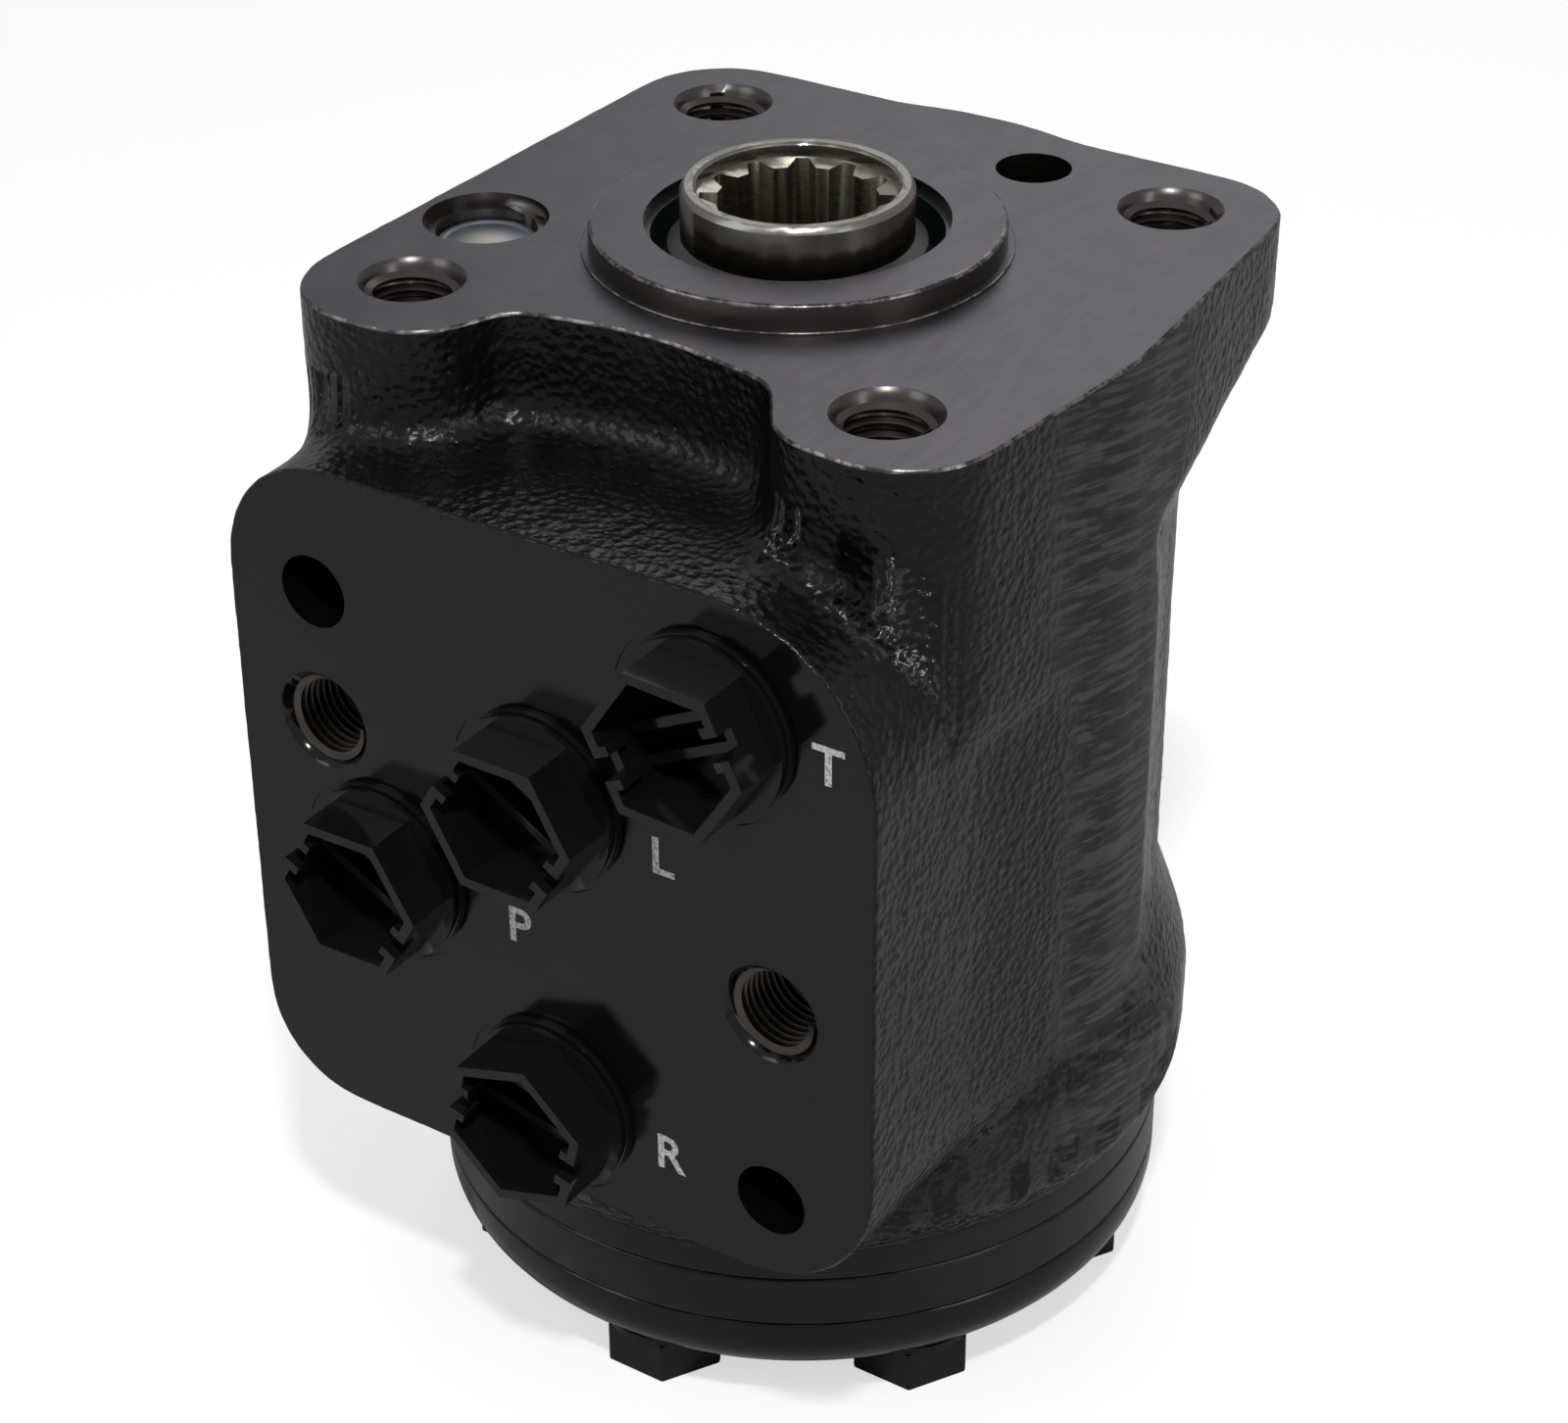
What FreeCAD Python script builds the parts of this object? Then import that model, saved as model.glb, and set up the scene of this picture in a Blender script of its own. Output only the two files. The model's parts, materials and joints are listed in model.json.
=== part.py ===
"""Orbital steering unit: rotary spool valve and gear set in a cast housing with a column flange.

Frame: the origin is the centre of the column flange face on the spool axis. +Z points up out of
the flange, the port face looks towards -Y, and +X is to the right seen from the port face.
"""
import FreeCAD, Part
import math
import os

import Sketcher
from FreeCAD import Placement, Rotation, Vector

doc = FreeCAD.newDocument("orbital_steering_unit")
dims = doc.addObject("Spreadsheet::Sheet", "dims")

# Driving dimensions in millimetres and degrees: alias, value, meaning.
# Heights are counted downwards from the flange face as depths. A value that starts with an
# equals sign follows from the ones above it.
DIMENSIONS = [
    ("housing_depth", "102.1", "depth of the housing's lower face"),
    ("column_bolt_circle", "82.5", "circle through the four column bolts"),
    ("column_tap_radius", "4.25", "tapping radius of the M10 column holes"),
    ("column_hole_depth", "17", "depth of the M10 column holes"),
    ("countersink_radius", "5.8", "mouth radius of the tapped holes"),
    ("flange_thickness", "12", "thickness of the column flange"),
    ("ear_radius", "11.8", "radius of the two front ears round their bolt holes"),
    ("back_corner_radius", "11.0", "radius of the two back corners round their bolt holes"),
    ("recess_half_width", "15.8", "half width of the front recess between the ears"),
    ("recess_wall", "4.9", "wall left between the pilot and the front recess"),
    ("recess_rise", "2.4", "how far the recess wall bows back in its middle"),
    ("flare_depth", "14", "height of the concave flare under the flange"),
    ("flare_rise", "1", "how far the flare runs up into the flange"),
    ("flare_slope", "1.35", "width of the flare as a share of its height"),
    ("column_radius", "41.7", "radius of the cast barrel"),
    ("base_radius", "45.8", "radius of the base ring of the barrel"),
    ("base_height", "16.1", "height of the base ring over the lower face"),
    ("base_top_depth", "=housing_depth - base_height", "depth at which the base ring is full size"),
    ("base_flare_height", "10", "height of the flare above the base ring"),
    ("base_chamfer_height", "3.1", "height of the chamfer under the base ring"),
    ("base_break_width", "0.6", "width of the broken upper rim of the base ring"),
    ("base_break_height", "1.5", "height of the broken upper rim of the base ring"),
    ("cheek_proud", "2.6", "how far the right cheek stands out of the barrel"),
    ("cheek_back", "3.0", "how far the cheek runs behind the spool axis"),
    ("cheek_draft", "0.1", "how far the cheek draws in at its front end"),
    ("cheek_fade", "0.9", "how far the cheek draws in at its back end"),
    ("pilot_radius", "22.3", "radius of the pilot ring"),
    ("pilot_height", "3.0", "height of the pilot ring"),
    ("pilot_chamfer", "0.4", "broken rim of the pilot ring"),
    ("neck_clearance", "0.4", "clearance of housing, seal foot and upper race round the spool neck"),
    ("seal_bore_radius", "16.4", "radius of the pilot bore that holds the dust seal"),
    ("seal_bore_depth", "4.5", "depth of the dust seal bore"),
    ("seal_pocket_radius", "17.0", "radius of the shaft seal pocket"),
    ("seal_case_wall", "0.7", "wall of the pressed case of the dust seal"),
    ("seal_case_foot", "1.2", "width and height of the foot of that case"),
    ("seal_case_drop", "1.4", "how far that case stays under the pilot's rim"),
    ("seal_foot_height", "1.6", "height of the dust seal's foot"),
    ("seal_turn_height", "2.4", "height at which the dust seal turns up"),
    ("lip_root", "1.9", "distance of the lip's back from the neck at its root"),
    ("lip_crown", "1.4", "distance of the lip's back from the neck at its crown"),
    ("lip_crown_level", "0.5", "level of the lip's crown over the flange face"),
    ("lip_edge_low", "0.4", "lower end of the lip's sealing band over the flange face"),
    ("lip_edge_high", "1.2", "upper end of the lip's sealing band over the flange face"),
    ("lip_throat_depth", "1.2", "depth at which the lip leaves the seal's foot"),
    ("seal_web", "1.5", "web between dust seal bore and shaft seal pocket"),
    ("seal_height", "4.6", "height of the shaft seal pocket"),
    ("shaft_seal_chamfer", "1.2", "chamfer of the shaft seal's lips"),
    ("shaft_seal_room", "0.3", "axial room over the upper race for the shaft seal"),
    ("main_bore_radius", "21.0", "radius of the bore in which the sleeve turns"),
    ("gallery_radius", "24.5", "radius of the ring galleries in the bore"),
    ("gallery_height", "6.4", "height of the ring galleries"),
    ("port_face_distance", "49.45", "distance of the port face from the spool axis"),
    ("port_face_left", "39.8", "reach of the port face to the left"),
    ("port_face_right", "40.8", "reach of the port face to the right"),
    ("port_face_top", "13.0", "depth of the port face's upper edge"),
    ("port_face_lift", "8.1", "height of the port face's lower edge over the lower face"),
    ("port_face_bottom", "=housing_depth - port_face_lift", "depth of the port face's lower edge"),
    ("corner_top_left", "14.0", "corner radius of the port face"),
    ("corner_top_right", "19.0", "corner radius of the port face"),
    ("corner_bottom_right", "16.0", "corner radius of the port face"),
    ("corner_bottom_left", "12.0", "corner radius of the port face"),
    ("port_spacing", "21.0", "sideways distance of ports T and P from the middle"),
    ("port_t_depth", "27.7", "depth of port T"),
    ("port_l_depth", "43.5", "depth of port L"),
    ("port_p_depth", "59.7", "depth of port P"),
    ("port_r_lift", "19.6", "height of port R over the lower face"),
    ("port_r_depth", "=housing_depth - port_r_lift", "depth of port R"),
    ("port_thread_radius", "9.0", "thread radius of the M18 ports"),
    ("port_bore_length", "14.5", "length of the threaded port bores"),
    ("port_channel_radius", "4.5", "radius of the channel behind a port"),
    ("spot_face_radius", "11.0", "radius of the spot face round a port"),
    ("spot_face_depth", "0.15", "depth of the spot face"),
    ("block_hole_offset", "28.4", "sideways distance of the valve block holes"),
    ("block_hole_drop", "1.2", "how far the lowest valve block hole lies under port R"),
    ("block_hole_low_depth", "=port_r_depth + block_hole_drop", "depth of the lowest valve block hole"),
    ("block_plain_radius", "4.2", "radius of the plain valve block holes"),
    ("block_tap_radius", "4.25", "tapping radius of the M10 valve block holes"),
    ("block_hole_length", "16", "depth of the valve block holes"),
    ("channel_hole_x", "11.1", "place of the plain channel hole in the flange"),
    ("channel_hole_radius", "4.25", "radius of the channel hole"),
    ("channel_hole_length", "24", "depth of the channel hole"),
    ("plug_hole_x", "32.3", "place of the expander plug to the left"),
    ("plug_hole_y", "12.3", "place of the expander plug to the front"),
    ("plug_recess_radius", "6.9", "radius of the recess over the expander plug"),
    ("plug_recess_depth", "1.4", "depth of that recess"),
    ("plug_radius", "5.6", "radius of the expander plug"),
    ("plug_hole_depth", "8.0", "depth of the expander plug's hole"),
    ("plug_foot_gap", "1.0", "gap under the expander plug"),
    ("plug_core_height", "3.4", "height of the expander plug under its rim"),
    ("plug_rim_height", "1.2", "height of the expander plug's rim"),
    ("plug_rim_wall", "1.0", "wall of the expander plug's rim"),
    ("plug_back_wall", "1.4", "wall round the hollow in the expander plug's underside"),
    ("plug_back_depth", "1.0", "depth of that hollow"),
    ("spool_neck_radius", "12.5", "radius of the polished spool neck"),
    ("spool_rise", "7.0", "height of the spool above the flange face"),
    ("spool_body_radius", "15.5", "radius of the sleeve's bore, in which the spool turns"),
    ("spool_cavity_radius", "10.5", "radius of the cavity for the cardan shaft"),
    ("spool_rim_width", "0.5", "width of the rounded rim of the spool"),
    ("spool_rim_height", "0.7", "height of the rounded rim of the spool"),
    ("spool_foot_gap", "4.0", "gap between the spool's lower end and the distributor plate"),
    ("socket_mouth_radius", "10.8", "radius of the lead-in of the spline socket"),
    ("socket_mouth_length", "1.6", "length of that lead-in"),
    ("socket_mouth_chamfer", "0.3", "chamfer at its mouth"),
    ("socket_tooth_chamfer", "0.4", "height of the chamfer on the ends of the teeth"),
    ("socket_depth", "23.0", "depth of the spline socket from the spool's top"),
    ("socket_floor", "5.0", "wall under the spline socket"),
    ("spline_minor_radius", "8.73", "radius at the tips of the internal spline teeth"),
    ("spline_major_radius", "10.48", "radius at the roots of the internal spline teeth"),
    ("spline_teeth", "12", "teeth of both splines"),
    ("spline_space_inner", "3.4", "width of a spline space at the tooth tips"),
    ("spline_space_outer", "1.4", "width of a spline space at its root"),
    ("running_gap", "0.03", "radial running clearance of spool and sleeve"),
    ("end_gap", "0.1", "axial clearance of turning pieces"),
    ("upper_race_height", "3.0", "height of the upper bearing race"),
    ("needle_radius", "1.0", "radius of the bearing needles"),
    ("needle_count", "16", "number of bearing needles"),
    ("needle_inner_room", "1.6", "distance of the needles from the spool neck"),
    ("needle_outer_room", "1.4", "distance of the needles from the housing bore"),
    ("cage_gap", "0.3", "gap between the needle cage and each race"),
    ("lower_race_height", "1.0", "height of the lower bearing race"),
    ("ring_seat_radius", "19.4", "radius of the sleeve under the spring ring"),
    ("ring_seat_start", "2.5", "distance of the spring ring from the sleeve's top"),
    ("spring_ring_height", "14.0", "height of the spring ring"),
    ("spring_depth", "27.0", "depth of the middle of the leaf springs"),
    ("spring_height", "7.4", "height of the leaf springs"),
    ("spring_thickness", "0.6", "thickness of one leaf"),
    ("spring_bow", "1.2", "bow of a curved leaf"),
    ("spring_slot", "3.1", "half width of the sleeve's spring slot"),
    ("leaf_end_gap", "0.6", "gap between the ends of the leaves and the spring ring"),
    ("leaf_pitch", "1.05", "distance between bowed leaves as a share of their thickness"),
    ("spool_swing", "8.0", "travel of the spool each way in degrees"),
    ("window_gap", "0.15", "clearance round springs and pin in their windows"),
    ("pin_depth", "41.0", "depth of the cross pin"),
    ("pin_radius", "4.0", "radius of the cross pin"),
    ("pin_end_gap", "0.6", "gap between each end of the cross pin and the housing bore"),
    ("valve_groove_radius", "14.2", "radius at the bottom of the spool's grooves"),
    ("valve_groove_width", "3.2", "width of the spool's grooves"),
    ("valve_hole_radius", "1.5", "radius of the holes through the sleeve"),
    ("valve_hole_drop", "8.0", "how far the upper valve holes lie under port L"),
    ("fork_radius", "9.3", "radius of the cardan shaft's fork"),
    ("fork_clearance", "0.35", "clearance of the fork on the cross pin"),
    ("fork_top", "6.4", "how far the fork reaches above the cross pin"),
    ("fork_foot", "7.6", "how far the fork reaches below the cross pin"),
    ("fork_taper", "4.0", "height of the cone under the fork"),
    ("fork_chamfer", "1.0", "chamfer on top of the fork"),
    ("shaft_radius", "5.6", "radius of the cardan shaft"),
    ("cardan_flank_gap", "0.22", "clearance of the crowned cardan spline"),
    ("cardan_end_gap", "0.6", "axial room at each end of the tilted cardan spline"),
    ("plate_height", "4.4", "height of the distributor plate"),
    ("gear_height", "6.5", "height of the gear set"),
    ("drum_rim_chamfer", "0.3", "broken rim of the drum's slices"),
    ("drum_radius", "43.17", "radius of the drum"),
    ("plate_hole_radius", "11.2", "radius of the distributor plate's middle hole"),
    ("passage_circle", "26.0", "radius of the circle of gear passages"),
    ("passage_radius", "2.3", "radius of a gear passage"),
    ("lobe_circle", "31.5", "radius of the circle of ring lobes"),
    ("lobe_radius", "7.0", "radius of a ring lobe"),
    ("eccentricity", "2.9", "orbit radius of the gear wheel"),
    ("mesh_gap", "0.1", "clearance between gear wheel and ring"),
    ("spacer_height", "1.1", "height of the drive spacer"),
    ("spacer_gap", "0.3", "radial clearance of the drive spacer"),
    ("cover_height", "8.3", "height of the end cover"),
    ("cover_edge_radius", "5.6", "radius of the end cover's rounded edge"),
    ("screw_circle", "33.0", "radius of the circle of cover screws"),
    ("first_screw_angle", "-85.5", "angle of the first cover screw"),
    ("screw_radius", "4.0", "radius of the M8 cover screws"),
    ("screw_thread_length", "15.0", "length of the screws in the housing"),
    ("thread_run_out", "2.0", "room over the ends of the screws"),
    ("screw_hole_radius", "4.3", "radius of the clearance holes"),
    ("screw_head_radius", "7.5", "corner radius of a screw head"),
    ("screw_head_height", "5.3", "height of a screw head"),
    ("washer_radius", "7.2", "radius of a screw washer"),
    ("washer_height", "1.0", "height of a screw washer"),
    ("o_ring_circle", "39.6", "middle radius of the body O-rings"),
    ("o_ring_radius", "0.75", "section radius of the body O-rings"),
    ("o_ring_room", "1.2", "width of an O-ring groove as a share of its ring"),
    ("ball_radius", "4.0", "radius of the check ball"),
    ("ball_bore_radius", "4.25", "radius of the check ball's bore"),
    ("ball_lift", "1.5", "travel of the check ball"),
    ("ball_channel_radius", "2.8", "radius of the channel over the check ball, whose mouth is its seat"),
    ("ball_depth", "72.0", "depth of the check ball's centre on its stop"),
    ("bush_radius", "5.2", "outer radius of the check bush"),
    ("bush_height", "8.0", "height of the check bush"),
    ("stop_pin_radius", "1.6", "radius of the stop pin on the special screw"),
    ("plug_cap_width", "16.4", "width over the flats of a port plug"),
    ("plug_cap_height", "7.5", "height of a port plug above the port face"),
    ("plug_cap_wall", "1.1", "wall of a port plug"),
    ("plug_cap_depth", "9.0", "depth of a port plug's hollow"),
    ("plug_flange_radius", "10.2", "radius of a port plug's flange"),
    ("plug_flange_height", "1.8", "height of a port plug's flange"),
    ("plug_lip_height", "0.72", "height of each of the two lips of that flange"),
    ("plug_lip_depth", "0.5", "depth of the groove between the lips"),
    ("plug_shank_length", "11.0", "length of a port plug's shank"),
    ("plug_slot", "2.6", "width of the screwdriver slot of a port plug"),
    ("plug_slot_depth", "2.2", "depth of the slot's notches in the hexagon"),
    ("plug_web_drop", "2.4", "how far the slot's walls stay under the hexagon's rim"),
    ("plug_web_root", "0.3", "how far the slot's walls reach into the floor"),
]
for row, (alias, value, meaning) in enumerate(DIMENSIONS, 1):
    dims.set(f"A{row}", meaning)
    dims.set(f"B{row}", value)
    dims.setAlias(f"B{row}", alias)
doc.recompute()

LOBES = 7
FULL_TURN = 360
SCREW_STEP = FULL_TURN / LOBES
CHECK_SCREW = 3  # counted from the first screw
POINTS_PER_TOOTH = 24
CONTACT = 1e-6  # millimetres within which two ends count as one
PARTS = {}


def size(expression):
    """Value of a cell, or of an expression on cells."""
    return float(dims.evalExpression(expression))


def keep(piece, label):
    """Name a finished sub-part, which also names its file."""
    piece.Label = label
    PARTS[label] = piece
    return piece


def bind(piece, **expressions):
    """Tie properties to the sheet; two underscores stand for a dot."""
    for name, expression in expressions.items():
        piece.setExpression(name.replace("__", "."), expression)
    return piece


def place(piece, x="0", y="0", z="0", turn=None):
    """Put a primitive at a point given as expressions, turned by a fixed rotation."""
    if turn is not None:
        piece.Placement = Placement(Vector(), turn)
    return bind(piece, Placement__Base__x=x, Placement__Base__y=y, Placement__Base__z=z)


INTO_FACE = Rotation(Vector(1, 0, 0), -90)


def cylinder(name, radius, height, x="0", y="0", z="0", turn=None):
    """Round bar whose sizes and place are expressions."""
    piece = doc.addObject("Part::Cylinder", name)
    bind(piece, Radius=radius, Height=height)
    return place(piece, x, y, z, turn)


def cone(name, low_radius, high_radius, height, x="0", y="0", z="0", turn=None):
    """Conical bar, used for chamfers and countersinks."""
    piece = doc.addObject("Part::Cone", name)
    bind(piece, Radius1=low_radius, Radius2=high_radius, Height=height)
    return place(piece, x, y, z, turn)


def block(name, length, width, height, x, y, z):
    """Box whose low corner is at x, y, z."""
    piece = doc.addObject("Part::Box", name)
    bind(piece, Length=length, Width=width, Height=height)
    return place(piece, x, y, z)


def prism(name, corner_radius, height, x="0", y="0", z="0", turn=None):
    """Hexagonal bar."""
    piece = doc.addObject("Part::Prism", name)
    piece.Polygon = 6
    bind(piece, Circumradius=corner_radius, Height=height)
    return place(piece, x, y, z, turn)


def together(name, pieces):
    """Several pieces fused into one."""
    piece = doc.addObject("Part::MultiFuse", name)
    piece.Shapes = pieces
    return piece


def overlap(name, pieces):
    """What several pieces have in common."""
    piece = doc.addObject("Part::MultiCommon", name)
    piece.Shapes = pieces
    return piece


def cut(name, base, tools):
    """Base less its tools."""
    piece = doc.addObject("Part::Cut", name)
    piece.Base = base
    piece.Tool = tools[0] if len(tools) == 1 else together(name + "_tools", tools)
    return piece


def group(name, pieces):
    """Separate solids that share one node."""
    piece = doc.addObject("Part::Compound", name)
    piece.Links = pieces
    return piece


def origin_plane(body, role):
    """One of a body's own origin planes."""
    return next(f for f in body.Origin.OriginFeatures if f.Role == role)


def outline_sketch(body, name, role, points):
    """Closed straight outline; every coordinate is an expression on the sheet."""
    sketch = body.newObject("Sketcher::SketchObject", name)
    sketch.AttachmentSupport = [(origin_plane(body, role), "")]
    sketch.MapMode = "FlatFace"
    places = [Vector(size(x), size(y), 0) for x, y in points]
    count = len(points)
    for i, start in enumerate(places):
        sketch.addGeometry(Part.LineSegment(start, places[(i + 1) % count]))
    for i in range(count):
        sketch.addConstraint(Sketcher.Constraint("Coincident", i, 2, (i + 1) % count, 1))
    for i, (x, y) in enumerate(points):
        for kind, expression in (("DistanceX", x), ("DistanceY", y)):
            rule = Sketcher.Constraint(kind, -1, 1, i, 1, size(expression))
            index = sketch.addConstraint(rule)
            sketch.setExpression(f"Constraints[{index}]", expression)
    return sketch


def turned(name, points):
    """Body turned about the Z axis from an outline of (radius, height) expressions."""
    body = doc.addObject("PartDesign::Body", name)
    sketch = outline_sketch(body, name + "_profile", "XZ_Plane", points)
    turn = body.newObject("PartDesign::Revolution", name + "_turn")
    turn.Profile = sketch
    turn.ReferenceAxis = (sketch, ["V_Axis"])
    turn.Angle = FULL_TURN
    return body


def ring(name, inner, outer, low, high):
    """Turned ring with a square section."""
    return turned(name, [(inner, low), (outer, low), (outer, high), (inner, high)])


def around(name, make, count, first="0"):
    """Equal pieces round the Z axis; make gets a name, and cosine and sine as expressions."""
    pitch = FULL_TURN / count
    pieces = []
    for k in range(count):
        angle = f"({first} + {k * pitch:.6f})"
        pieces.append(make(f"{name}_{k}", f"cos{angle}", f"sin{angle}"))
    return pieces


def rounded_wire(corners, to_point):
    """Closed wire of lines and arcs through (a, b, radius) corners."""
    count = len(corners)
    spans = []
    for i, (a, b, radius) in enumerate(corners):
        here = Vector(a, b, 0)
        back = (Vector(*corners[i - 1][:2], 0) - here).normalize()
        ahead = (Vector(*corners[(i + 1) % count][:2], 0) - here).normalize()
        half = back.getAngle(ahead) / 2
        reach = radius / math.tan(half)
        middle = (back + ahead).normalize()
        crown = here + middle * (radius / math.sin(half) - radius)
        spans.append((here + back * reach, crown, here + ahead * reach))
    edges = []
    for i, (start, crown, end) in enumerate(spans):
        edges.append(Part.Arc(to_point(start), to_point(crown), to_point(end)).toShape())
        following = spans[(i + 1) % count][0]
        if end.distanceToPoint(following) > CONTACT:
            edges.append(Part.LineSegment(to_point(end), to_point(following)).toShape())
    return Part.Wire(edges)


def shaped(name, shape):
    """A computed shape as an object of the document."""
    piece = doc.addObject("Part::Feature", name)
    piece.Shape = shape
    return piece


def extruded(name, profile, direction, length):
    """Straight extrusion of a closed wire, with its length tied to the sheet."""
    piece = doc.addObject("Part::Extrusion", name)
    piece.Base = profile
    piece.DirMode = "Custom"
    piece.Dir = direction
    piece.Solid = True
    return bind(piece, LengthFwd=length)


# Levels that several pieces share, as expressions
BOLT = "(dims.column_bolt_circle / 2 * sqrt(0.5))"
SHOULDER = "(dims.seal_bore_depth + dims.seal_web + dims.seal_height)"
RACE_LOW = f"({SHOULDER} + dims.upper_race_height)"
CAGE_LOW = f"({RACE_LOW} + 2 * dims.needle_radius)"
SLEEVE_TOP = f"({CAGE_LOW} + dims.lower_race_height)"
PLATE_TOP = "dims.housing_depth"
GEAR_TOP = "(dims.housing_depth + dims.plate_height)"
COVER_TOP = f"({GEAR_TOP} + dims.gear_height)"
COVER_LOW = f"({COVER_TOP} + dims.cover_height)"
HEAD_TOP = f"({COVER_LOW} + dims.washer_height)"
CAVITY_TOP = "(dims.socket_depth - dims.spool_rise + dims.socket_floor)"
SPOOL_LOW = "(dims.housing_depth - dims.spool_foot_gap)"
GEAR_MIDDLE = f"({GEAR_TOP} + dims.gear_height / 2)"
FACE_Y = "-dims.port_face_distance"

# Housing: the casting


def flange_outline():
    """Plan of the column flange: four corners round the bolts, front recess, right cheek."""
    bolt = size(BOLT)
    ear = size("dims.ear_radius")
    back = size("dims.back_corner_radius")
    recess = size("dims.recess_half_width")
    recess_y = -size("dims.pilot_radius + dims.recess_wall")
    rise = size("dims.recess_rise")
    bulge = size("dims.column_radius + dims.cheek_proud")
    front = -(bolt + ear)
    brow = 0.72 * ear  # radius where an ear turns towards the recess
    foot = 0.42 * ear  # radius where an ear's flank meets the recess wall
    wall = 3 * ear  # radius of the bowed recess wall
    left_flank, right_flank = 0.35 * ear, 0.55 * ear
    right_slope = 0.14 * ear
    corners = [
        (bolt + back, bolt + back, back),
        (-(bolt + back), bolt + back, back),
        (-(bolt + ear), front, 0.98 * ear),
        (-recess - left_flank, front, brow),
        (-recess, recess_y - rise, foot),
        (0, recess_y + 0.2 * rise, wall),
        (recess, recess_y - rise, foot),
        (recess + right_flank, front + right_slope, brow),
        (bolt + ear, front - 0.05 * ear, 0.88 * ear),
        (bulge, -size("2 * dims.cheek_back"), size("dims.cheek_back")),
    ]
    return rounded_wire(corners, lambda v: v)


def block_section(left, right, top, y, top_radii):
    """Section of the port block in a plane of constant y, with rounded corners."""
    bottom = -size("dims.port_face_bottom")
    low_left = size("dims.corner_bottom_left")
    low_right = size("dims.corner_bottom_right")
    corners = [
        (left, top, top_radii[0]),
        (right, top, top_radii[1]),
        (right, bottom, low_right),
        (left, bottom, low_left),
    ]
    return rounded_wire(corners, lambda v: Vector(v.x, y, v.y))


def lofted(name, sections):
    """Solid through sections of the same make."""
    piece = doc.addObject("Part::Loft", name)
    piece.Sections = [shaped(f"{name}_{i}", wire) for i, wire in enumerate(sections)]
    piece.Solid = True
    piece.Ruled = True
    return piece


DOWN = Vector(0, 0, -1)
face_y = -size("dims.port_face_distance")
left = -size("dims.port_face_left")
right = size("dims.port_face_right")
cheek_x = size("dims.column_radius + dims.cheek_proud")
cheek_y = -size("2 * dims.cheek_back")
ear_x = size(f"{BOLT} + dims.ear_radius")
ledge = -size("dims.port_face_top")
top_radii = (size("dims.corner_top_left"), size("dims.corner_top_right"))

outline = shaped("flange_outline", flange_outline())
flange_plate = extruded("flange_plate", outline, DOWN, "dims.flange_thickness")
neck_prism = extruded("neck_prism", outline, DOWN, "dims.port_face_top + dims.corner_top_right")
front_half = block("front_half", "4 * dims.column_radius", "2 * dims.column_radius", "2 * dims.column_radius",
                   "-2 * dims.column_radius", "dims.cheek_back - 2 * dims.column_radius",
                   "-2 * dims.column_radius")
neck = overlap("neck", [neck_prism, front_half])

port_block = lofted("port_block", [
    block_section(left, right, ledge, face_y, top_radii),
    block_section(-ear_x, ear_x, ledge, -size(BOLT), top_radii),
    block_section(-ear_x, cheek_x - size("dims.cheek_draft"), ledge, cheek_y, top_radii),
    block_section(-ear_x, cheek_x - size("dims.cheek_fade"), ledge, size("dims.cheek_back"), top_radii),
    block_section(-ear_x, size("dims.column_radius - dims.cheek_fade"), ledge, size("3 * dims.cheek_back"),
                  top_radii),
])


def flare_profile():
    """Concave quarter curve from the barrel out to the flange's underside, with the barrel's core."""
    inner = size("dims.column_radius")
    high = -size("dims.flange_thickness - dims.flare_rise")
    low = -size("dims.flange_thickness + dims.flare_depth")
    reach = (high - low) * size("dims.flare_slope")
    outer = inner + reach
    quarter_bend = 1 - math.sqrt(0.5)
    bend = Vector(inner + reach * quarter_bend, 0, high - (high - low) * quarter_bend)
    curve = Part.Arc(Vector(inner, 0, low), bend, Vector(outer, 0, high)).toShape()
    corners = [Vector(outer, 0, high), Vector(0, 0, high), Vector(0, 0, low), Vector(inner, 0, low)]
    edges = [curve] + [Part.LineSegment(a, b).toShape() for a, b in zip(corners, corners[1:])]
    return Part.Face(Part.Wire(edges))


flare_round = shaped("flare_round", flare_profile().revolve(Vector(), Vector(0, 0, 1), FULL_TURN))
flare_reach = extruded("flare_reach", outline, DOWN,
                       "dims.flange_thickness + dims.flare_depth + dims.flare_rise")
flare = overlap("flare", [flare_round, flare_reach])

barrel_round = turned("barrel_round", [
    ("0", "-dims.port_face_top - 0.5"),
    ("dims.column_radius", "-dims.port_face_top - 0.5"),
    ("dims.column_radius", "-dims.base_top_depth + dims.base_flare_height"),
    ("dims.base_radius - dims.base_break_width", "-dims.base_top_depth"),
    ("dims.base_radius", "-dims.base_top_depth - dims.base_break_height"),
    ("dims.base_radius", "-dims.housing_depth + dims.base_chamfer_height"),
    ("dims.drum_radius", "-dims.housing_depth"),
    ("0", "-dims.housing_depth"),
])
left_flat = block("left_flat", "3 * dims.column_radius", "3 * dims.column_radius", "dims.housing_depth + 1",
                  f"-({BOLT} + dims.ear_radius)", "-1.5 * dims.column_radius", "-dims.housing_depth - 1")
barrel = overlap("barrel", [barrel_round, left_flat])
back_round = cylinder("back_round", "dims.column_radius", "dims.port_face_top + 1",
                      z="-dims.port_face_top - 1")
back_half = block("back_half", "2 * dims.column_radius", "2 * dims.column_radius", "dims.port_face_top + 1",
                  "-dims.column_radius", "dims.column_radius / 2", "-dims.port_face_top - 1")
back_bulge = overlap("back_bulge", [back_round, back_half])
pilot = turned("pilot", [
    ("0", "-dims.pilot_height"),
    ("dims.pilot_radius", "-dims.pilot_height"),
    ("dims.pilot_radius", "dims.pilot_height - dims.pilot_chamfer"),
    ("dims.pilot_radius - dims.pilot_chamfer", "dims.pilot_height"),
    ("0", "dims.pilot_height"),
])
casting = together("casting", [flange_plate, neck, port_block, flare, barrel, back_bulge, pilot])

# Housing: bores and holes

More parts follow.
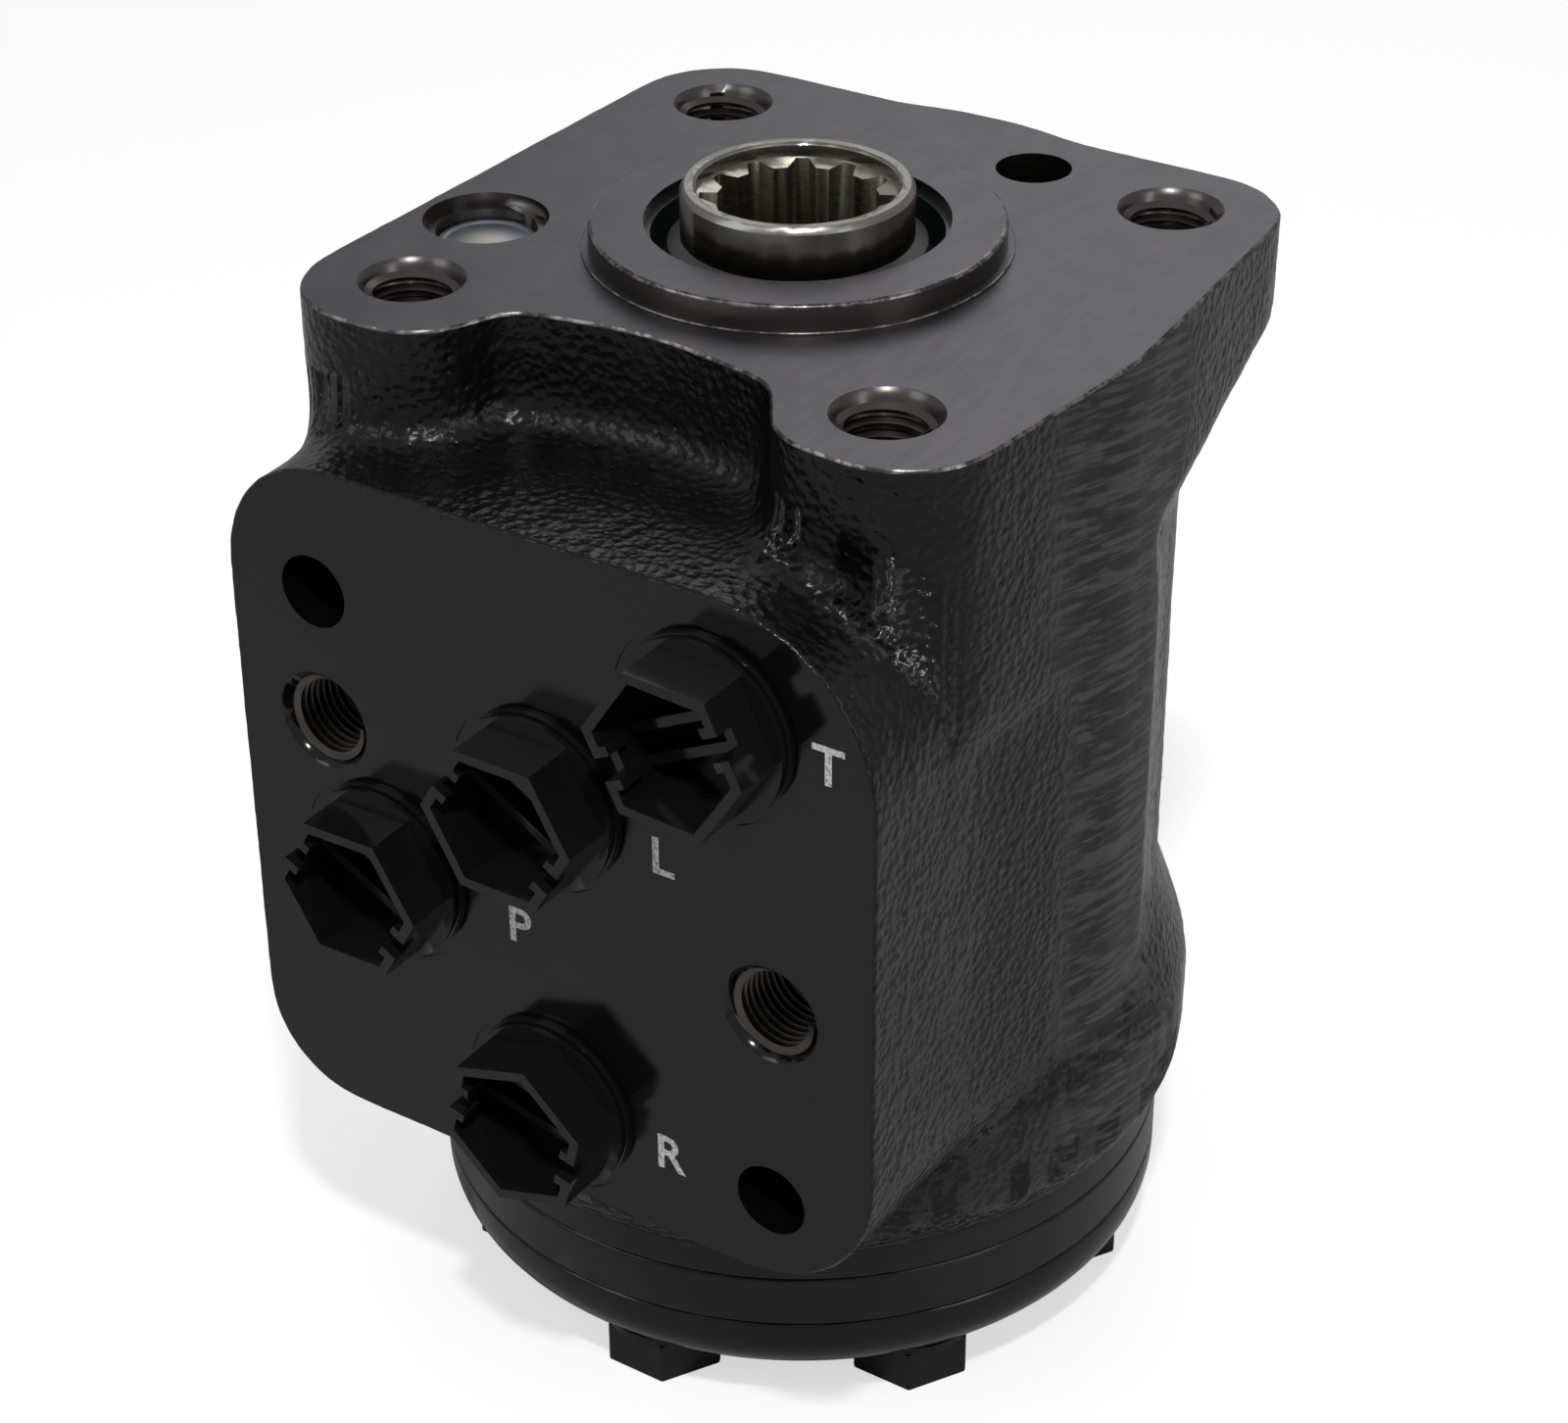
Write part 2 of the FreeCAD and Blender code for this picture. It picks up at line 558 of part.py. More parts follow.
bore = turned("bore", [
    ("0", "dims.pilot_height + 1"),
    ("dims.seal_bore_radius", "dims.pilot_height + 1"),
    ("dims.seal_bore_radius", "-dims.seal_bore_depth"),
    ("dims.spool_neck_radius + dims.neck_clearance", "-dims.seal_bore_depth"),
    ("dims.spool_neck_radius + dims.neck_clearance", "-dims.seal_bore_depth - dims.seal_web"),
    ("dims.seal_pocket_radius", "-dims.seal_bore_depth - dims.seal_web"),
    ("dims.seal_pocket_radius", f"-{SHOULDER}"),
    ("dims.main_bore_radius", f"-{SHOULDER}"),
    ("dims.main_bore_radius", "-dims.housing_depth - 1"),
    ("0", "-dims.housing_depth - 1"),
])
PORTS = {
    "t": ("dims.port_spacing", "dims.port_t_depth"),
    "l": ("0", "dims.port_l_depth"),
    "p": ("-dims.port_spacing", "dims.port_p_depth"),
    "r": ("0", "dims.port_r_depth"),
}
tools = [bore]
for name, (x, depth) in PORTS.items():
    tools.append(ring(f"gallery_{name}", "dims.main_bore_radius - 1", "dims.gallery_radius",
                      f"-{depth} - dims.gallery_height / 2", f"-{depth} + dims.gallery_height / 2"))
    tools.append(cylinder(f"port_{name}_spot", "dims.spot_face_radius", "dims.spot_face_depth + 1",
                          x, f"{FACE_Y} - 1", f"-{depth}", INTO_FACE))
    tools.append(cylinder(f"port_{name}_bore", "dims.port_thread_radius", "dims.port_bore_length",
                          x, FACE_Y, f"-{depth}", INTO_FACE))
    tools.append(cylinder(f"port_{name}_channel", "dims.port_channel_radius",
                          "dims.port_face_distance - dims.main_bore_radius * 0.45",
                          x, FACE_Y, f"-{depth}", INTO_FACE))

BLOCK_HOLES = {
    "plain_upper": ("-dims.block_hole_offset", "dims.port_t_depth", "dims.block_plain_radius"),
    "plain_lower": ("dims.block_hole_offset", "dims.block_hole_low_depth", "dims.block_plain_radius"),
    "tapped_left": ("-dims.block_hole_offset", "dims.port_l_depth", "dims.block_tap_radius"),
    "tapped_right": ("dims.block_hole_offset", "dims.port_p_depth", "dims.block_tap_radius"),
}
for name, (x, depth, radius) in BLOCK_HOLES.items():
    tools.append(cylinder(f"block_{name}", radius, "dims.block_hole_length", x, FACE_Y, f"-{depth}",
                          INTO_FACE))
    if name.startswith("tapped"):
        tools.append(cone(f"block_{name}_mouth", "dims.countersink_radius", radius,
                          f"dims.countersink_radius - {radius}", x, FACE_Y, f"-{depth}", INTO_FACE))

for name, (sx, sy) in {"a": ("", ""), "b": ("-", ""), "c": ("-", "-"), "d": ("", "-")}.items():
    x, y = sx + BOLT, sy + BOLT
    tools.append(cylinder(f"column_hole_{name}", "dims.column_tap_radius", "dims.column_hole_depth + 1",
                          x, y, "-dims.column_hole_depth"))
    tools.append(cone(f"column_mouth_{name}", "dims.column_tap_radius", "dims.countersink_radius",
                      "dims.countersink_radius - dims.column_tap_radius", x, y,
                      "dims.column_tap_radius - dims.countersink_radius"))

CHECK_ANGLE = f"(dims.first_screw_angle + {CHECK_SCREW * SCREW_STEP:.6f})"
check_x = f"dims.screw_circle * cos{CHECK_ANGLE}"
check_y = f"dims.screw_circle * sin{CHECK_ANGLE}"
BALL_RISE = "sqrt(pow(dims.ball_radius; 2) - pow(dims.ball_channel_radius; 2))"
tools.append(cylinder("channel_hole", "dims.channel_hole_radius", "dims.channel_hole_length + 1",
                      "dims.channel_hole_x", "sqrt(pow(dims.screw_circle; 2) - pow(dims.channel_hole_x; 2))",
                      "-dims.channel_hole_length"))
tools.append(cylinder("plug_recess", "dims.plug_recess_radius", "dims.plug_recess_depth + 1",
                      "-dims.plug_hole_x", "-dims.plug_hole_y", "-dims.plug_recess_depth"))
tools.append(cylinder("plug_hole", "dims.plug_radius", "dims.plug_hole_depth + 1",
                      "-dims.plug_hole_x", "-dims.plug_hole_y", "-dims.plug_hole_depth"))
tools.append(cylinder("check_bore", "dims.ball_bore_radius",
                      f"dims.housing_depth - dims.ball_depth + dims.ball_lift + {BALL_RISE} + 1",
                      check_x, check_y, "-dims.housing_depth - 1"))
tools.append(cylinder("check_channel", "dims.ball_channel_radius", "dims.ball_depth - dims.port_p_depth",
                      check_x, check_y, "-dims.ball_depth"))
tools.append(cylinder("check_link", "dims.ball_channel_radius", "dims.screw_circle - dims.main_bore_radius",
                      f"dims.main_bore_radius * cos{CHECK_ANGLE}",
                      f"dims.main_bore_radius * sin{CHECK_ANGLE}", "-dims.port_p_depth",
                      Rotation(Vector(0, 0, 1), size(CHECK_ANGLE)) * Rotation(Vector(0, 1, 0), 90)))
tools.append(cylinder("bush_bore", "dims.bush_radius", "dims.bush_height + 2 * dims.end_gap + 1",
                      check_x, check_y, "-dims.housing_depth - 1"))
tools += around("thread_hole", lambda n, c, s: cylinder(
    n, "dims.screw_radius", "dims.screw_thread_length + dims.thread_run_out + 1",
    f"dims.screw_circle * {c}", f"dims.screw_circle * {s}", "-dims.housing_depth - 1"),
    LOBES, "dims.first_screw_angle")
tools += around("passage", lambda n, c, s: cylinder(
    n, "dims.passage_radius", "dims.housing_depth - dims.base_top_depth",
    f"dims.passage_circle * {c}", f"dims.passage_circle * {s}", "-dims.housing_depth - 1"),
    LOBES, f"dims.first_screw_angle + {SCREW_STEP / 2:.6f}")


def o_ring_groove(name, face):
    """Square groove in the face at this depth, as deep as the O-ring is thick."""
    half = "dims.o_ring_room * dims.o_ring_radius"
    return ring(name, f"dims.o_ring_circle - {half}", f"dims.o_ring_circle + {half}", f"-{face} - 1",
                f"-{face} + 2 * dims.o_ring_radius")


tools.append(o_ring_groove("housing_groove", PLATE_TOP))
keep(cut("housing_cut", casting, tools), "housing")

# Seals and plug in the column flange

SEAL_FLOOR = "-dims.seal_bore_depth"
case_inside = "dims.seal_bore_radius - dims.seal_case_wall"
foot_inside = "dims.seal_bore_radius - dims.seal_case_foot"
lip_inside = "dims.spool_neck_radius + dims.running_gap"
keep(turned("seal_case_turn", [
    (foot_inside, SEAL_FLOOR),
    ("dims.seal_bore_radius", SEAL_FLOOR),
    ("dims.seal_bore_radius", "dims.pilot_height - dims.seal_case_drop"),
    (case_inside, "dims.pilot_height - dims.seal_case_drop"),
    (case_inside, f"{SEAL_FLOOR} + dims.seal_case_foot"),
    (foot_inside, f"{SEAL_FLOOR} + dims.seal_case_foot"),
]), "dust_seal_case")
keep(turned("dust_seal_turn", [
    ("dims.spool_neck_radius + dims.neck_clearance", SEAL_FLOOR),
    (foot_inside, SEAL_FLOOR),
    (foot_inside, f"{SEAL_FLOOR} + dims.seal_foot_height"),
    ("dims.spool_neck_radius + dims.lip_root", f"{SEAL_FLOOR} + dims.seal_turn_height"),
    ("dims.spool_neck_radius + dims.lip_crown", "dims.lip_crown_level"),
    (lip_inside, "dims.lip_edge_high"),
    (lip_inside, "dims.lip_edge_low"),
    ("dims.spool_neck_radius + dims.neck_clearance", "-dims.lip_throat_depth"),
]), "dust_seal")
keep(turned("shaft_seal_turn", [
    (lip_inside, f"-{SHOULDER} + dims.shaft_seal_chamfer"),
    ("dims.spool_neck_radius + dims.shaft_seal_chamfer", f"-{SHOULDER} + dims.shaft_seal_room"),
    ("dims.seal_pocket_radius", f"-{SHOULDER} + dims.shaft_seal_room"),
    ("dims.seal_pocket_radius", "-dims.seal_bore_depth - dims.seal_web"),
    ("dims.spool_neck_radius + dims.shaft_seal_chamfer", "-dims.seal_bore_depth - dims.seal_web"),
    (lip_inside, "-dims.seal_bore_depth - dims.seal_web - dims.shaft_seal_chamfer + dims.shaft_seal_room"),
]), "shaft_seal")

plug_x, plug_y = "-dims.plug_hole_x", "-dims.plug_hole_y"
plug_low = "-dims.plug_hole_depth + dims.plug_foot_gap"
plug_face = f"{plug_low} + dims.plug_core_height"
plug_cup = together("plug_cup", [
    cylinder("plug_body", "dims.plug_radius", "dims.plug_core_height", plug_x, plug_y, plug_low),
    cylinder("plug_rim", "dims.plug_radius", "dims.plug_rim_height", plug_x, plug_y, plug_face),
])
plug_tools = [
    cylinder("plug_dish", "dims.plug_radius - dims.plug_rim_wall", "dims.plug_rim_height + 1", plug_x, plug_y,
             plug_face),
    cylinder("plug_back", "dims.plug_radius - dims.plug_back_wall",
             "dims.plug_foot_gap + dims.plug_back_depth", plug_x, plug_y, "-dims.plug_hole_depth"),
]
keep(cut("plug_cut", plug_cup, plug_tools), "flange_expander_plug")

# Spool: neck, spline socket, cavity and valve grooves

spool_turn = turned("spool_turn", [
    ("0", f"-{CAVITY_TOP}"),
    ("0", "dims.spool_rise - dims.socket_depth"),
    ("dims.spline_minor_radius", "dims.spool_rise - dims.socket_depth"),
    ("dims.spline_minor_radius", "dims.spool_rise - dims.socket_mouth_length - dims.socket_tooth_chamfer"),
    ("dims.socket_mouth_radius", "dims.spool_rise - dims.socket_mouth_length"),
    ("dims.socket_mouth_radius", "dims.spool_rise - dims.socket_mouth_chamfer"),
    ("dims.socket_mouth_radius + dims.socket_mouth_chamfer", "dims.spool_rise"),
    ("dims.spool_neck_radius - dims.spool_rim_width", "dims.spool_rise"),
    ("dims.spool_neck_radius", "dims.spool_rise - dims.spool_rim_height"),
    ("dims.spool_neck_radius", f"-{SLEEVE_TOP} - dims.end_gap"),
    ("dims.spool_body_radius - dims.running_gap", f"-{SLEEVE_TOP} - dims.end_gap"),
    ("dims.spool_body_radius - dims.running_gap", f"-{SPOOL_LOW}"),
    ("dims.spool_cavity_radius", f"-{SPOOL_LOW}"),
    ("dims.spool_cavity_radius", f"-{CAVITY_TOP}"),
])


def window(body, name, role, points, depth, level="0"):
    """Pocket of a straight outline, cut the same way to both sides of its plane."""
    feature = body.newObject("PartDesign::Pocket", name)
    feature.Profile = outline_sketch(body, name + "_profile", role, points)
    feature.Profile[0].setExpression("AttachmentOffset.Base.z", level)
    feature.Midplane = True
    feature.setExpression("Length", depth)
    return feature


def rectangle(half_width, low, high):
    """Corners of an upright rectangle centred on the vertical axis."""
    return [(f"-({half_width})", low), (half_width, low), (half_width, high), (f"-({half_width})", high)]


def cross_drilling(body, name, radius, level, length):
    """Round hole across the body at this height."""
    sketch = body.newObject("Sketcher::SketchObject", name + "_circle")
    sketch.AttachmentSupport = [(origin_plane(body, "XZ_Plane"), "")]
    sketch.MapMode = "FlatFace"
    centre = Vector(0, size(level), 0)
    sketch.addGeometry(Part.Circle(centre, Vector(0, 0, 1), size(radius)))
    for kind, expression in (("DistanceX", "0"), ("DistanceY", level)):
        index = sketch.addConstraint(Sketcher.Constraint(kind, -1, 1, 0, 3, size(expression)))
        sketch.setExpression(f"Constraints[{index}]", expression)
    index = sketch.addConstraint(Sketcher.Constraint("Radius", 0, size(radius)))
    sketch.setExpression(f"Constraints[{index}]", radius)
    feature = body.newObject("PartDesign::Pocket", name)
    feature.Profile = sketch
    feature.Midplane = True
    feature.setExpression("Length", length)
    return feature


def repeat(body, name, feature, count):
    """Repeat a feature round the body's Z axis."""
    axis = origin_plane(body, "Z_Axis")
    pattern = body.newObject("PartDesign::PolarPattern", name)
    pattern.Originals = [feature]
    pattern.Axis = (axis, [""])
    pattern.Angle = FULL_TURN
    pattern.setExpression("Occurrences", count)
    body.Tip = pattern
    return pattern


space_in = "dims.spline_space_inner / 2"
space_out = "dims.spline_space_outer / 2"
space = window(spool_turn, "spline_space", "XY_Plane", [
    ("dims.spline_minor_radius - 0.5", f"-{space_in}"),
    ("dims.spline_major_radius", f"-{space_out}"),
    ("dims.spline_major_radius", space_out),
    ("dims.spline_minor_radius - 0.5", space_in),
], "2 * (dims.socket_depth - dims.spool_rise)")
repeat(spool_turn, "spline_spaces", space, "dims.spline_teeth")

SWING = "dims.spool_body_radius * tan(dims.spool_swing)"
spring_low = "-dims.spring_depth - dims.spring_height / 2 - dims.window_gap"
spring_high = "-dims.spring_depth + dims.spring_height / 2 + dims.window_gap"
window(spool_turn, "spool_spring_window", "YZ_Plane",
       rectangle(f"dims.spring_slot + {SWING}", spring_low, spring_high), "4 * dims.spool_body_radius")
window(spool_turn, "spool_pin_window", "XZ_Plane",
       rectangle(f"dims.pin_radius / cos(dims.spool_swing) + {SWING} + dims.window_gap",
                 "-dims.pin_depth - dims.pin_radius - dims.window_gap",
                 "-dims.pin_depth + dims.pin_radius + dims.window_gap"), "4 * dims.spool_body_radius")
groove = window(spool_turn, "valve_groove", "XY_Plane", [
    ("dims.valve_groove_radius", "-dims.valve_groove_width / 2"),
    ("dims.spool_body_radius + 1", "-dims.valve_groove_width / 2"),
    ("dims.spool_body_radius + 1", "dims.valve_groove_width / 2"),
    ("dims.valve_groove_radius", "dims.valve_groove_width / 2"),
], "dims.port_r_depth - dims.port_p_depth", "-(dims.port_p_depth + dims.port_r_depth) / 2")
repeat(spool_turn, "valve_grooves", groove, "dims.spline_teeth / 2")
spool_drilling = cross_drilling(spool_turn, "spool_drilling", "dims.valve_hole_radius",
                                "-dims.port_l_depth - dims.valve_hole_drop", "4 * dims.spool_body_radius")
repeat(spool_turn, "spool_drillings", spool_drilling, "dims.spline_teeth / 4")
keep(spool_turn, "spool")

# Sleeve with its pin, springs and spring ring

ring_top = f"-{SLEEVE_TOP} - dims.ring_seat_start"
ring_low = f"{ring_top} - dims.spring_ring_height"
sleeve_turn = turned("sleeve_turn", [
    ("dims.spool_body_radius", f"-{SLEEVE_TOP}"),
    ("dims.ring_seat_radius", f"-{SLEEVE_TOP}"),
    ("dims.ring_seat_radius", ring_low),
    ("dims.main_bore_radius - dims.running_gap", ring_low),
    ("dims.main_bore_radius - dims.running_gap", "-dims.housing_depth + dims.end_gap"),
    ("dims.spool_body_radius", "-dims.housing_depth + dims.end_gap"),
])
window(sleeve_turn, "sleeve_spring_window", "YZ_Plane",
       rectangle("dims.spring_slot", spring_low, spring_high), "4 * dims.main_bore_radius")
cross_drilling(sleeve_turn, "pin_hole", "dims.pin_radius", "-dims.pin_depth", "4 * dims.main_bore_radius")
for name, level in (("upper", "-dims.port_l_depth - dims.valve_hole_drop"), ("middle", "-dims.port_p_depth"),
                    ("lower", "-dims.port_r_depth")):
    row = cross_drilling(sleeve_turn, f"{name}_drilling", "dims.valve_hole_radius", level,
                         "4 * dims.main_bore_radius")
    repeat(sleeve_turn, f"{name}_drillings", row, "dims.spline_teeth / 4")
keep(sleeve_turn, "sleeve")
keep(ring("spring_ring_turn", "dims.ring_seat_radius", "dims.main_bore_radius - 3 * dims.running_gap",
          ring_low, ring_top), "spring_ring")
PIN_REACH = "(dims.main_bore_radius - dims.pin_end_gap)"
keep(cylinder("pin_bar", "dims.pin_radius", f"2 * {PIN_REACH}", "0", PIN_REACH, "-dims.pin_depth",
              Rotation(Vector(1, 0, 0), 90)), "cross_pin")

leaf_length = "2 * (dims.ring_seat_radius - dims.leaf_end_gap)"
leaf_low = "-dims.spring_depth - dims.spring_height / 2"
flats = [block(f"flat_leaf_{side}", leaf_length, "dims.spring_thickness", "dims.spring_height",
               f"-({leaf_length}) / 2", y, leaf_low)
         for side, y in (("front", "-dims.spring_thickness"), ("back", "0"))]
keep(group("flat_leaves", flats), "flat_springs")


def bowed_leaf(start, side):
    """Leaf whose middle lies at this distance from the pack's middle and whose ends bow away."""
    half = size(leaf_length) / 2
    bow = size("dims.spring_bow")
    thick = size("dims.spring_thickness")
    low = size(leaf_low)

    def arc(offset):
        ends = side * (start + offset + bow)
        middle = side * (start + offset)
        return (Vector(-half, ends, low), Vector(0, middle, low), Vector(half, ends, low))
    near, far = arc(0), arc(thick)
    edges = [Part.Arc(*near).toShape(), Part.LineSegment(near[2], far[2]).toShape(),
             Part.Arc(*far[::-1]).toShape(), Part.LineSegment(far[0], near[0]).toShape()]
    return Part.Face(Part.Wire(edges)).extrude(Vector(0, 0, size("dims.spring_height")))


first_bow = size("dims.spring_thickness")
second_bow = first_bow * (1 + size("dims.leaf_pitch"))
bows = []
for side in (1, -1):
    for distance in (first_bow, second_bow):
        bows.append(shaped(f"bowed_leaf_{len(bows)}", bowed_leaf(distance, side)))
keep(group("bowed_leaves", bows), "curved_springs")

# Axial bearing between the housing's shoulder and the sleeve

race_bore = "dims.spool_neck_radius + 3 * dims.running_gap"
race_rim = "dims.main_bore_radius - 3 * dims.running_gap"
keep(ring("upper_race", "dims.spool_neck_radius + dims.neck_clearance", race_rim, f"-{RACE_LOW}",
          f"-{SHOULDER}"), "thrust_race_upper")
keep(ring("lower_race", race_bore, race_rim, f"-{SLEEVE_TOP}", f"-{CAGE_LOW}"), "thrust_race_lower")
cage_disc = ring("cage_disc", race_bore, race_rim, f"-{CAGE_LOW} + dims.cage_gap",
                 f"-{RACE_LOW} - dims.cage_gap")
needle_middle = f"-({RACE_LOW} + dims.needle_radius)"
needle_start = "(dims.spool_neck_radius + dims.needle_inner_room)"
needle_length = f"(dims.main_bore_radius - dims.needle_outer_room - {needle_start})"


def needle_row(name, radius, extra):
    """Radial needles, or with extra length the pockets that hold them."""
    count = int(size("dims.needle_count"))
    row = []
    for k in range(count):
        angle = FULL_TURN * k / count
        out = Rotation(Vector(0, 0, 1), angle) * Rotation(Vector(0, 1, 0), 90)
        start = f"({needle_start} - {extra})"
        row.append(cylinder(f"{name}_{k}", radius, f"{needle_length} + 2 * {extra}",
                            f"{start} * cos({angle})", f"{start} * sin({angle})", needle_middle, out))
    return row


pockets = needle_row("needle_pocket", "dims.needle_radius + dims.running_gap", "dims.end_gap")
keep(cut("cage", cage_disc, pockets), "needle_cage")
needles = needle_row("needle", "dims.needle_radius - dims.running_gap / 2", "0")
keep(group("needles", needles), "thrust_needles")

# Gear set


def spline_wire(inner, outer, inner_width, outer_width):
    """Star outline of trapezoid spaces or teeth between two radii."""
    count = int(size("dims.spline_teeth"))
    points = []
    for k in range(count):
        turn = Rotation(Vector(0, 0, 1), FULL_TURN * k / count)
        for radius, half in ((inner, -inner_width / 2), (outer, -outer_width / 2),
                             (outer, outer_width / 2), (inner, inner_width / 2)):
            points.append(turn.multVec(Vector(radius, half, 0)))
    return Part.makePolygon(points + points[:1])


def wheel_wire():
    """Six-tooth outline that stays in touch with all seven ring lobes as it orbits."""
    circle = size("dims.lobe_circle")
    offset = size("dims.lobe_radius + dims.mesh_gap")
    orbit = size("dims.eccentricity")
    steps = POINTS_PER_TOOTH * (LOBES - 1)
    points = []
    for k in range(steps):
        turn = 2 * math.pi * k / steps
        path = Vector(circle * math.cos(turn) - orbit * math.cos(LOBES * turn),
                      circle * math.sin(turn) - orbit * math.sin(LOBES * turn), 0)
        run = Vector(-circle * math.sin(turn) + LOBES * orbit * math.sin(LOBES * turn),
                     circle * math.cos(turn) - LOBES * orbit * math.cos(LOBES * turn), 0).normalize()
        points.append(path + Vector(-run.y, run.x, 0) * offset)
    curve = Part.BSplineCurve()
    curve.interpolate(points, PeriodicFlag=True)
    return Part.Wire(curve.toShape())


def drum_slice(name, low, high):
    """Disc of the drum with both rims broken, which shows as a fine seam."""
    rim, edge = "dims.drum_radius", "dims.drum_rim_chamfer"
    return turned(name, [("0", f"-{low}"), (f"{rim} - {edge}", f"-{low}"), (rim, f"-{low} + {edge}"),
                         (rim, f"-{high} - {edge}"), (f"{rim} - {edge}", f"-{high}"), ("0", f"-{high}")])


FIRST = "(dims.first_screw_angle)"
orbit_x = f"dims.eccentricity * cos{FIRST}"
orbit_y = f"dims.eccentricity * sin{FIRST}"
plate_tools = [cylinder("plate_hole", "dims.plate_hole_radius", "dims.plate_height", z=f"-{GEAR_TOP}")]
plate_tools += around("plate_screw_hole", lambda n, c, s: cylinder(
    n, "dims.screw_hole_radius", "dims.plate_height", f"dims.screw_circle * {c}", f"dims.screw_circle * {s}",
    f"-{GEAR_TOP}"), LOBES, "dims.first_screw_angle")
plate_tools += around("plate_passage", lambda n, c, s: cylinder(
    n, "dims.passage_radius", "dims.plate_height", f"dims.passage_circle * {c}", f"dims.passage_circle * {s}",
    f"-{GEAR_TOP}"), LOBES, f"dims.first_screw_angle + {SCREW_STEP / 2:.6f}")
plate_tools.append(o_ring_groove("plate_groove", GEAR_TOP))
plate_disc = drum_slice("plate_disc", GEAR_TOP, PLATE_TOP)
keep(cut("plate_cut", plate_disc, plate_tools), "distributor_plate")

ROOT = "dims.lobe_circle + 2 * dims.eccentricity - dims.lobe_radius + 2 * dims.mesh_gap"
ring_disc = drum_slice("ring_disc", COVER_TOP, GEAR_TOP)
ring_root = cylinder("ring_root", ROOT, "dims.gear_height", z=f"-{COVER_TOP}")
lobes = around("lobe", lambda n, c, s: cylinder(
    n, "dims.lobe_radius", "dims.gear_height", f"dims.lobe_circle * {c}", f"dims.lobe_circle * {s}",
    f"-{COVER_TOP}"), LOBES, "dims.first_screw_angle")
ring_blank = together("ring_blank", [cut("ring_band", ring_disc, [ring_root])] + lobes)
ring_tools = around("ring_screw_hole", lambda n, c, s: cylinder(
    n, "dims.screw_hole_radius", "dims.gear_height", f"dims.screw_circle * {c}", f"dims.screw_circle * {s}",
    f"-{COVER_TOP}"), LOBES, "dims.first_screw_angle")
ring_tools.append(o_ring_groove("ring_groove", COVER_TOP))
keep(cut("ring_cut", ring_blank, ring_tools), "gear_ring")

wheel_hole = spline_wire(size("dims.spline_minor_radius"), size("dims.spline_major_radius"),
                         size("dims.spline_space_inner"), size("dims.spline_space_outer"))
wheel_blank = extruded("wheel_blank", shaped("wheel_outline", wheel_wire()), DOWN,
                       "dims.gear_height - dims.end_gap / 2")
wheel_socket = extruded("wheel_socket", shaped("wheel_spline", wheel_hole), DOWN, "dims.gear_height")
for piece in (wheel_blank, wheel_socket):
    place(piece, orbit_x, orbit_y, f"-{GEAR_TOP} - dims.end_gap / 4")
wheel_blank.Placement.Rotation = Rotation(Vector(0, 0, 1), size("dims.first_screw_angle"))
keep(cut("wheel_cut", wheel_blank, [wheel_socket]), "gear_wheel")
keep(cylinder("spacer_disc", "dims.spline_minor_radius - dims.spacer_gap", "dims.spacer_height",
              orbit_x, orbit_y, f"-{COVER_TOP} + dims.running_gap"), "drive_spacer")

# Cardan shaft, drawn along its own axis with the cross pin at the origin, then tilted

DROP = f"({GEAR_MIDDLE} - dims.pin_depth)"
head_top = f"-({GEAR_TOP} + dims.cardan_end_gap - dims.pin_depth)"
head_low = f"-({COVER_TOP} - dims.spacer_height - dims.cardan_end_gap - dims.pin_depth)"
cardan_turn = turned("cardan_turn", [
    ("0", "dims.fork_top"),
    ("dims.fork_radius - dims.fork_chamfer", "dims.fork_top"),
    ("dims.fork_radius", "dims.fork_top - dims.fork_chamfer"),
    ("dims.fork_radius", "-dims.fork_foot"),
    ("dims.shaft_radius", "-dims.fork_foot - dims.fork_taper"),
    ("dims.shaft_radius", head_low),
    ("0", head_low),
])
window(cardan_turn, "fork_slot", "XZ_Plane",
       rectangle("dims.pin_radius + dims.fork_clearance", "-dims.pin_radius - 2 * dims.fork_clearance",
                 "2 * dims.pin_radius"), "4 * dims.fork_radius")
crown_gap = size("dims.cardan_flank_gap") * 1.5
head_wire = spline_wire(size("dims.spline_minor_radius") - crown_gap,
                        size("dims.spline_major_radius") - crown_gap,
                        size("dims.spline_space_inner - 2 * dims.cardan_flank_gap"),
                        size("dims.spline_space_outer") - crown_gap)
head = extruded("cardan_head", shaped("cardan_spline", head_wire), DOWN, f"({head_top}) - ({head_low})")
place(head, z=head_top)
cardan = together("cardan_join", [cardan_turn, head])
first = math.radians(size(FIRST))
lean = Rotation(Vector(math.sin(first), -math.cos(first), 0),
                math.degrees(math.atan2(size("dims.eccentricity"), size(DROP))))
place(cardan, z="-dims.pin_depth", turn=lean)
keep(cardan, "cardan_shaft")

# End cover, screws, washers and seals of the drum

cover_turn = turned("cover_turn", [
    ("0", f"-{COVER_LOW}"),
    ("dims.drum_radius", f"-{COVER_LOW}"),
    ("dims.drum_radius", f"-{COVER_TOP} - dims.drum_rim_chamfer"),
    ("dims.drum_radius - dims.drum_rim_chamfer", f"-{COVER_TOP}"),
    ("0", f"-{COVER_TOP}"),
])
doc.recompute()
rim_edge = next(i for i, e in enumerate(cover_turn.Shape.Edges, 1)
                if e.BoundBox.ZLength < 0.01 and abs(e.BoundBox.ZMin + size(COVER_LOW)) < 0.01)
square_cover = cover_turn.Tip
rounding = cover_turn.newObject("PartDesign::Fillet", "cover_rounding")
rounding.Base = (square_cover, [f"Edge{rim_edge}"])
rounding.setExpression("Radius", "dims.cover_edge_radius")
cover_tools = around("cover_screw_hole", lambda n, c, s: cylinder(
    n, "dims.screw_hole_radius", "dims.cover_height", f"dims.screw_circle * {c}", f"dims.screw_circle * {s}",
    f"-{COVER_LOW}"), LOBES, "dims.first_screw_angle")
keep(cut("cover_cut", cover_turn, cover_tools), "end_cover")


